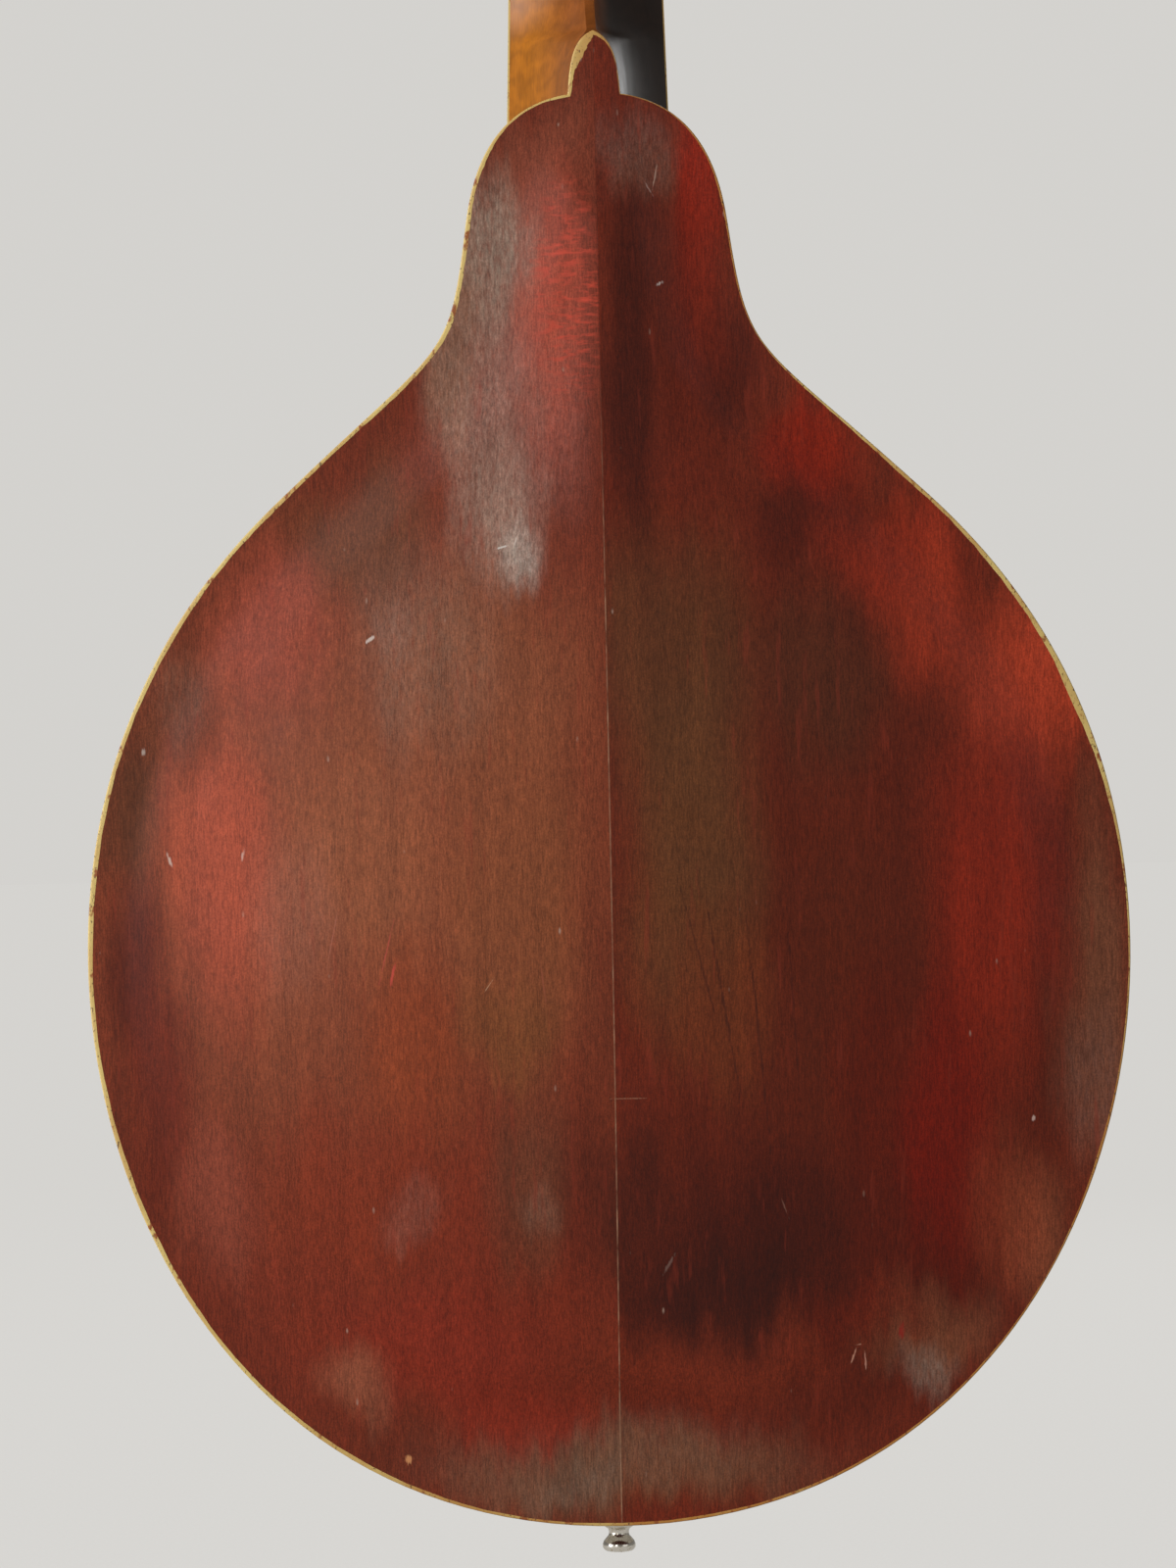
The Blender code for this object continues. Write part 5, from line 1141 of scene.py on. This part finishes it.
def sunburstTop():
    # Carved spruce under a shaded varnish: amber middle, dark red-brown edge, upright growth lines with
    # silky flecks across them, and a soft gloss
    material, tree, shader, where = newMaterial("sunburstVarnishOnSpruce")
    uneven = streaks(tree, where, (18.0, 18.0, 60.0), -0.06, 0.06)
    out = addNode(tree, "Math", {0: reachFrom(tree, where, 0, 150, 132, 178), 1: uneven}, operation="ADD")
    shade = linear("#b0652a")
    for start, end, colour in ((0.35, 0.80, "#7a3317"), (0.75, 1.05, "#35130c")):
        mask = addNode(tree, "MapRange", {"Value": out, "From Min": start, "From Max": end},
                       interpolation_type="SMOOTHSTEP")
        shade = addNode(tree, "Mix", {0: mask, 6: shade, 7: linear(colour)}, **colourMix)
    # growth lines 1.3 mm apart, each a slow rise to a dark latewood line; a wave's period is 0.314 / scale
    growth = addNode(tree, "TexWave", {"Vector": where, "Scale": 0.314 / 0.0013, "Distortion": 1.6,
                                       "Detail": 2.0, "Detail Scale": 0.12},
                     out=1, wave_profile="SAW", bands_direction="X")
    level = addNode(tree, "MapRange", {"Value": growth, "To Min": 1.12, "To Max": 0.66})
    silk = streaks(tree, where, (3.5, 3.5, 0.5), 0.93, 1.07)
    for factor in (level, silk):
        shade = addNode(tree, "VectorMath", {0: shade, 3: factor}, operation="SCALE")
    relief = addNode(tree, "Bump", {"Height": growth, "Strength": 0.25, "Distance": 0.0001})
    feed(tree, shader, {"Base Color": shade, "Normal": relief, "Specular IOR Level": 0.30,
                        "Roughness": streaks(tree, where, (15.0, 15.0, 15.0), 0.30, 0.48, 4.0),
                        "Coat Weight": 0.15, "Coat Roughness": 0.15})
    return material


def amberNeck():
    # Maple neck under amber varnish, hand-worn: clear amber on the treble flank, browner towards the ridge,
    # partly stain and partly painted shade, and beyond it near the heel nearly black, a painted shade of the
    # flank turned from the lamp, with a broken flame 7 mm apart and fine pores
    material, tree, shader, where = newMaterial("amberVarnishOnMaple")
    across = addNode(tree, "SeparateXYZ", {0: where})
    upright = across.node.outputs[2]
    shade = linear("#9c5c10")
    # the first colour is the ridge's brown, partly painted shade; the second is painted shade on the bass
    # flank, near the heel only
    for start, end, colour, upHigh in ((-0.016, -0.002, "#7c4318", 0.5), (0.000, 0.006, "#24160e", 0.0)):
        ridge = addNode(tree, "MapRange", {"Value": across, "From Min": start, "From Max": end},
                        interpolation_type="SMOOTHSTEP")
        nearHeel = addNode(tree, "MapRange", {"Value": upright, "From Min": body["jointZ"] + 0.05,
                                              "From Max": body["jointZ"] + 0.11, "To Min": 1.0,
                                              "To Max": upHigh})
        ridge = addNode(tree, "Math", {0: ridge, 1: nearHeel}, operation="MULTIPLY")
        shade = addNode(tree, "Mix", {0: ridge, 6: shade, 7: linear(colour)}, **colourMix)
    flame = addNode(tree, "TexWave", {"Vector": where, "Scale": 0.314 / 0.007, "Distortion": 9.0,
                                      "Detail": 3.0, "Detail Scale": 3.0},
                    out=1, bands_direction="Z")
    level = addNode(tree, "MapRange", {"Value": flame, "To Min": 0.86, "To Max": 1.08})
    pores = streaks(tree, where, (0.4, 0.4, 4.0), 0.84, 1.12)
    wearAndPaintedLight = streaks(tree, where, (8.0, 8.0, 45.0), 0.84, 1.14, 3.0)
    for factor in (level, pores, wearAndPaintedLight):
        shade = addNode(tree, "VectorMath", {0: shade, 3: factor}, operation="SCALE")
    relief = addNode(tree, "Bump", {"Height": pores, "Strength": 0.20, "Distance": 0.0001})
    feed(tree, shader, {"Base Color": shade, "Normal": relief, "Specular IOR Level": 0.22,
                        "Roughness": streaks(tree, where, (9.0, 9.0, 30.0), 0.28, 0.45, 3.0),
                        "Coat Weight": 0.05, "Coat Roughness": 0.20})
    return material


def agedCelluloid(name, cream, amber):
    # Celluloid binding scraped flush and yellowed: cream on the treble side, amber on the bass side, which is
    # partly painted shade of the side turned from the lamp, and amber towards the tail, with dirt specks and
    # small orange chips
    material, tree, shader, where = newMaterial(name)
    across = addNode(tree, "SeparateXYZ", {0: where})
    upright = across.node.outputs[2]
    side = addNode(tree, "MapRange", {"Value": across, "From Min": -0.020, "From Max": 0.012})
    # it is paler on the amber side from below the shoulder to the widest place, a painted highlight along
    # that stretch
    upper = addNode(tree, "MapRange", {"Value": upright, "From Min": body["tailZ"] + 0.270,
                                       "From Max": body["tailZ"] + 0.300})
    lower = addNode(tree, "MapRange", {"Value": upright, "From Min": body["tailZ"] + 0.150,
                                       "From Max": body["tailZ"] + 0.090})
    wearAndPaintedLight = addNode(tree, "Math", {0: upper, 1: lower}, operation="MAXIMUM")
    wearAndPaintedLight = addNode(tree, "MapRange", {"Value": wearAndPaintedLight, "To Min": 0.2})
    side = addNode(tree, "Math", {0: side, 1: wearAndPaintedLight}, operation="MULTIPLY")
    low = addNode(tree, "MapRange", {"Value": upright, "From Min": body["tailZ"] + 0.040,
                                     "From Max": body["tailZ"], "To Max": 0.7})
    side = addNode(tree, "Math", {0: side, 1: low}, operation="MAXIMUM")
    patchy = streaks(tree, where, (16.0, 16.0, 22.0), -0.5, 0.6, 4.0)
    side = addNode(tree, "Math", {0: side, 1: patchy}, operation="ADD", use_clamp=True)
    shade = addNode(tree, "Mix", {0: side, 6: linear(cream), 7: linear(amber)}, **colourMix)
    chips = streaks(tree, where, (2.6, 2.6, 4.0), -4.5, 1.4, 3.0)
    dirt = streaks(tree, where, (0.7, 0.7, 1.1), -2.6, 0.9)
    for mask, colour in ((chips, "#8a4a1c"), (dirt, "#4a2c18")):
        mask = addNode(tree, "Math", {0: mask, 1: 0.0}, operation="ADD", use_clamp=True)
        shade = addNode(tree, "Mix", {0: mask, 6: shade, 7: linear(colour)}, **colourMix)
    feed(tree, shader, {"Base Color": shade, "Roughness": streaks(tree, where, (3.0, 3.0, 6.0), 0.32, 0.50),
                        "Specular IOR Level": 0.40})
    return material


def ivoroidButtons():
    # Ivoroid, celluloid rolled in thin sheets: cream with fine darker lines half a millimetre apart
    material, tree, shader, where = newMaterial("ivoroid")
    lines = addNode(tree, "TexWave", {"Vector": where, "Scale": 0.314 / 0.0006, "Distortion": 2.0,
                                      "Detail": 2.0, "Detail Scale": 0.2},
                    out=1, bands_direction="X")
    level = addNode(tree, "MapRange", {"Value": lines, "To Min": 0.90, "To Max": 1.04})
    wearAndPaintedLight = streaks(tree, where, (4.0, 4.0, 4.0), 0.0, 1.0, 3.0)
    shade = addNode(tree, "Mix", {0: wearAndPaintedLight, 6: linear("#e0cb9c"), 7: linear("#cfae72")}, **colourMix)
    shade = addNode(tree, "VectorMath", {0: shade, 3: level}, operation="SCALE")
    feed(tree, shader, {"Base Color": shade, "Roughness": streaks(tree, where, (2.0, 2.0, 2.0), 0.26, 0.42)})
    return material


def ebonyWood(name, along):
    # Ebony, planed and oiled: almost black with brown streaks and fine open pores; along is its grain in mm
    material, tree, shader, where = newMaterial(name)
    brown = streaks(tree, where, tuple(max(2.5, length * 8.0) for length in along), 0.0, 1.0, 4.0)
    shade = addNode(tree, "Mix", {0: brown, 6: linear("#16110f"), 7: linear("#2c2019")}, **colourMix)
    pores = streaks(tree, where, along, 0.70, 1.25)
    shade = addNode(tree, "VectorMath", {0: shade, 3: pores}, operation="SCALE")
    relief = addNode(tree, "Bump", {"Height": pores, "Strength": 0.30, "Distance": 0.0001})
    feed(tree, shader, {"Base Color": shade, "Normal": relief,
                        "Roughness": streaks(tree, where, (8.0, 8.0, 8.0), 0.32, 0.52, 3.0)})
    return material


def mottledMatter(name, colours, mottle, rough, grain=None):
    # Two colours that drift into each other, and finer light and dark grain across them
    material, tree, shader, where = newMaterial(name)
    drift = streaks(tree, where, *mottle)
    shade = addNode(tree, "Mix", {0: drift, 6: linear(colours[0]), 7: linear(colours[1])}, **colourMix)
    if grain:
        fine = streaks(tree, where, *grain)
        shade = addNode(tree, "VectorMath", {0: shade, 3: fine}, operation="SCALE")
    feed(tree, shader, {"Base Color": shade, "Roughness": rough})
    return material


def agedMetal(name, clean, tarnished, rough, cover=0.4):
    # Plated or plain metal that was polished and then handled: bright with warm tarnish in patches 8 mm
    # across, and fine hairline scratches that spread the shine
    material, tree, shader, where = newMaterial(name)
    tarnish = streaks(tree, where, (8.0, 8.0, 8.0), -0.3, cover, 5.0)
    specks = streaks(tree, where, (0.6, 0.6, 0.6), -3.2, 1.1)
    tarnish = addNode(tree, "Math", {0: tarnish, 1: specks}, operation="MAXIMUM", use_clamp=True)
    shade = addNode(tree, "Mix", {0: tarnish, 6: linear(clean), 7: linear(tarnished)}, **colourMix)
    hairlines = streaks(tree, where, (0.15, 0.15, 4.0), -0.05, 0.05)
    dulled = addNode(tree, "MapRange", {"Value": tarnish, "To Min": rough, "To Max": rough + 0.22})
    dulled = addNode(tree, "Math", {0: dulled, 1: hairlines}, operation="ADD", use_clamp=True)
    feed(tree, shader, {"Base Color": shade, "Roughness": dulled, "Metallic": 1.0})
    return material


def woundWire():
    # Bronze wire wound on steel: ridges 0.35 mm apart across the string, dull in the grooves
    material, tree, shader, where = newMaterial("woundBronze")
    wraps = addNode(tree, "TexWave", {"Vector": where, "Scale": 0.314 / 0.00035}, out=1,
                    bands_direction="Z")
    shade = addNode(tree, "Mix", {0: wraps, 6: linear("#6e4a2a"), 7: linear("#c79a68")}, **colourMix)
    relief = addNode(tree, "Bump", {"Height": wraps, "Strength": 0.6, "Distance": 0.00008})
    feed(tree, shader, {"Base Color": shade, "Normal": relief, "Metallic": 1.0,
                        "Roughness": streaks(tree, where, (6.0, 6.0, 20.0), 0.28, 0.45)})
    return material


def pearlShell():
    # Mother-of-pearl, sawn and polished: silver-white with faint clouds of pink and green in wavy bands
    material, tree, shader, where = newMaterial("motherOfPearl")
    shade = linear("#e2e0da")
    for size, colour, reach in (((1.6, 1.6, 0.9), "#d9c3c4", 1.0), ((1.2, 1.2, 2.1), "#b9d2c6", 0.9)):
        cloud = streaks(tree, where, size, -0.5, reach, 3.0)
        shade = addNode(tree, "Mix", {0: cloud, 6: shade, 7: linear(colour)}, **colourMix)
    feed(tree, shader, {"Base Color": shade, "Roughness": 0.18, "Coat Weight": 0.5})
    return material


backVarnish = redVarnish("redVarnishOnMapleBack", True)
ribVarnish = redVarnish("redVarnishOnMapleRibs", False)
topVarnish = sunburstTop()
neckVarnish = amberNeck()
backCelluloid = agedCelluloid("agedCelluloidBack", "#c9ae68", "#a8702e")
celluloid = agedCelluloid("agedCelluloid", "#d8be78", "#cda55c")
ivoroid = ivoroidButtons()
boardEbony = ebonyWood("ebonyFingerboard", (0.25, 0.25, 3.0))
bridgeEbony = ebonyWood("ebonyBridge", (3.0, 0.25, 0.25))
# bone, sawn and polished: off-white, with faint lines, tiny darker pores and a waxy shine
boneWhite = mottledMatter("polishedBone", ("#e8dfc4", "#d3c39a"), ((1.5, 6.0, 6.0), 0.0, 1.0, 3.0), 0.34,
                          ((0.5, 0.2, 0.2), 0.90, 1.05))
# unvarnished spruce and maple inside the box: pale tan, sawn, greyed by dust in soft patches
rawWood = mottledMatter("bareWoodInside", ("#c49c66", "#9c8262"), ((20.0, 20.0, 20.0), 0.0, 0.7, 4.0), 0.85,
                        ((0.8, 0.8, 25.0), 0.78, 1.12, 3.0))
# pressed fibre of the black rings, dark brown where its dye has faded
blackPurfling = mottledMatter("blackFibre", ("#110e0c", "#2b211a"), ((1.0, 1.0, 5.0), 0.0, 1.0), 0.5)
nickel = agedMetal("nickelPlate", "#cdc8be", "#94825f", 0.17)            # stamped, plated and buffed
brass = agedMetal("cutBrass", "#c8a258", "#7a5a2a", 0.26, 0.8)           # turned and hobbed gears
fretMetal = agedMetal("nickelSilverWire", "#cfccc2", "#a39a80", 0.20, 0.3)
steel = agedMetal("plainSteelWire", "#c9c9c7", "#8f8a82", 0.22, 0.4)
bronze = woundWire()
pearl = pearlShell()
print("materials mixed:", len(bpy.data.materials))


# Assembly

for side, word in ((1, "Bass"), (-1, "Treble")):
    makeBack(side, word, backVarnish)
even = [body["binding"]] * len(bodyLoop)
addPiece("backBinding", bindingMesh("backBinding", backLoop, buttonBinding(backLoop), body["backEdge"], 1),
         backCelluloid, stands=("back_binding",))
addPiece("topBinding", bindingMesh("topBinding", bodyLoop, even, body["topEdge"], -1), celluloid,
         stands=("top_binding",))
innerBack, innerTop = body["backEdge"] + body["plate"], body["topEdge"] - body["plate"]
for side, word in ((1, "Bass"), (-1, "Treble")):
    rib = ribMesh(f"rib{word}", side, bodyLoop, offsetLoop(bodyLoop, body["rim"]), innerBack, innerTop)
    bent = addPiece(f"rib{word}", rib, ribVarnish, stands=(f"side_{word.lower()}",))
    bareInside(bent, lambda face: face.index % 4 == 2)
makeTop(topVarnish)
ovalRing("soundHoleBinding", 0.0, soundHole["binding"], -body["plate"], 0.00015, celluloid,
         ("soundhole_binding",))
for number, (inner, outer, dark) in enumerate(soundHole["rings"], 1):
    ovalRing(f"rosetteRing{number}", inner, outer, -0.0002, 0.00006, blackPurfling if dark else celluloid)
makeNeck(neckVarnish)
makeFingerboard(boardEbony, fretMetal, pearl)
makeVeneer(boardEbony, nickel)
makeTuners(brass, nickel, ivoroid)
makeCover(nickel)
makeEndPin(nickel)
makeBridge(bridgeEbony)
for number in range(1, 9):
    makeString(number, bronze if number < 5 else steel)

solidFinish = {"fingerboard_binding": celluloid, "fingerboard_riser": neckVarnish, "nut": boneWhite,
               "tailpiece_base": nickel, "tuner_plate_bass": nickel, "tuner_plate_treble": nickel,
               "neck_block": rawWood, "tail_block": rawWood, "top_brace": rawWood,
               "top_lining_bass": rawWood, "top_lining_treble": rawWood, "back_lining_bass": rawWood,
               "back_lining_treble": rawWood}
for node, finish in solidFinish.items():
    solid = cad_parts[node]
    for used in solid.material_slots:
        used.material = finish


# Camera, lights and surroundings

view = {
    "distance": 1.30,
    "yaw": radians(1.8),
    "roll": radians(1.12),
    "pixel": 0.2404 / 1000,     # what a pixel of the photo covers on the back
    "middle": (-20.0, 758.0),   # the frame's middle: photo pixels from the seam and up from the tail
    "sensor": 36.0,
    "height": 1600,
}
studio = {
    "paper": "#f2f0ec",
    "floorDrop": 0.075,
    "radius": 14.0,
    "glow": 0.74,
    "mirroredGlow": 0.30,
    "share": 1.29,              # the larger it is, the less of the floor's paleness comes from the lamps
    "airLight": 0.23,
}


def placeCamera():
    middle = Vector((view["middle"][0] * view["pixel"], body["backEdge"],
                     body["tailZ"] + view["middle"][1] * view["pixel"]))
    away = Vector((-sin(view["yaw"]), -cos(view["yaw"]), 0.0))
    eye = middle + away * view["distance"]
    up = Vector((sin(view["roll"]), 0.0, cos(view["roll"])))
    right = (-away).cross(up).normalized()
    camera = bpy.data.cameras.new("photographView")
    camera.sensor_width = view["sensor"]
    camera.lens = view["sensor"] * view["distance"] / (view["height"] * view["pixel"])
    camera.clip_end = 40.0
    place = axesMatrix(eye, right, right.cross(-away), away)
    bpy.context.scene.camera = addObject("photographView", camera, place)


def addLamp(name, place, aim, size, power):
    lamp = bpy.data.lights.new(name, "AREA")
    lamp.shape = "RECTANGLE"
    lamp.size, lamp.size_y = size
    lamp.energy = power
    facing = (Vector(aim) - Vector(place)).to_track_quat("-Z", "Y").to_matrix().to_4x4()
    addObject(name, lamp, Matrix.Translation(place) @ facing)


def paperGlow(tree, own, share=1.0):
    # How bright the paper looks: it glows for the camera and in reflections, and other light meets its own
    path = addNode(tree, "LightPath").node
    mirrored = addNode(tree, "Math", {0: path.outputs["Is Glossy Ray"],
                                      1: path.outputs["Is Transmission Ray"]}, operation="ADD")
    level = own
    for ray, glow in ((path.outputs["Is Camera Ray"], studio["glow"]), (mirrored, studio["mirroredGlow"])):
        part = addNode(tree, "Math", {0: ray, 1: glow * share - own}, operation="MULTIPLY")
        level = addNode(tree, "Math", {0: part, 1: level}, operation="ADD")
    return level


def makeSurroundings():
    # A wide pale floor, and air of the same paleness above it, so that every view is as plain
    floorZ = body["tailZ"] - studio["floorDrop"]
    rings = [circle(studio["radius"], height, 64) for height in (floorZ - 0.01, floorZ)]
    floor = addObject("studioFloor", loftMesh("studioFloor", rings, 1.0))
    floor.visible_diffuse = floor.visible_shadow = False      # it neither tints nor dims the lamps' light
    # Seamless studio paper, matt and almost white: part of it glows, so that it stays pale far from the
    # lamps, and part takes its light from them and shows the mandolin's shadow
    material, tree, shader, where = newMaterial("seamlessPaper")
    shade = addNode(tree, "RGB")
    shade.default_value = linear(studio["paper"])
    fibres = streaks(tree, where, (1.2, 1.2, 1.2), 0.985, 1.015)
    shade = addNode(tree, "VectorMath", {0: shade, 3: fibres}, operation="SCALE")
    feed(tree, shader, {"Base Color": shade, "Roughness": 0.9})
    glow = addNode(tree, "Emission", {"Color": shade, "Strength": 1 / studio["share"]})
    blend = addNode(tree, "MixShader", {0: paperGlow(tree, 0.0, studio["share"]),
                                        1: shader.outputs[0], 2: glow})
    tree.links.new(blend, tree.nodes["Material Output"].inputs["Surface"])
    floor.data.materials.append(material)
    world = bpy.data.worlds.new("studioAir")
    bpy.context.scene.world = world
    world.use_nodes = True
    air = world.node_tree.nodes["Background"]
    air.inputs["Color"].default_value = linear(studio["paper"])
    world.node_tree.links.new(paperGlow(world.node_tree, studio["airLight"]), air.inputs["Strength"])


placeCamera()
makeSurroundings()
addLamp("softboxLeft", (-1.55, -0.75, 0.05), (0.0, 0.0, -0.32), (0.8, 1.5), 36.0)
addLamp("windowLeft", (-0.62, -1.55, 0.0), (0.0, 0.0, -0.32), (0.35, 1.0), 6.0)
addLamp("fillRight", (1.3, -1.4, 0.1), (0.0, 0.0, -0.35), (1.2, 1.2), 4.5)
addLamp("frontFill", (0.5, 1.5, 0.4), (0.0, 0.0, -0.2), (1.0, 1.0), 9.0)
bpy.context.scene.view_settings.view_transform = "Standard"
print("studio ready")
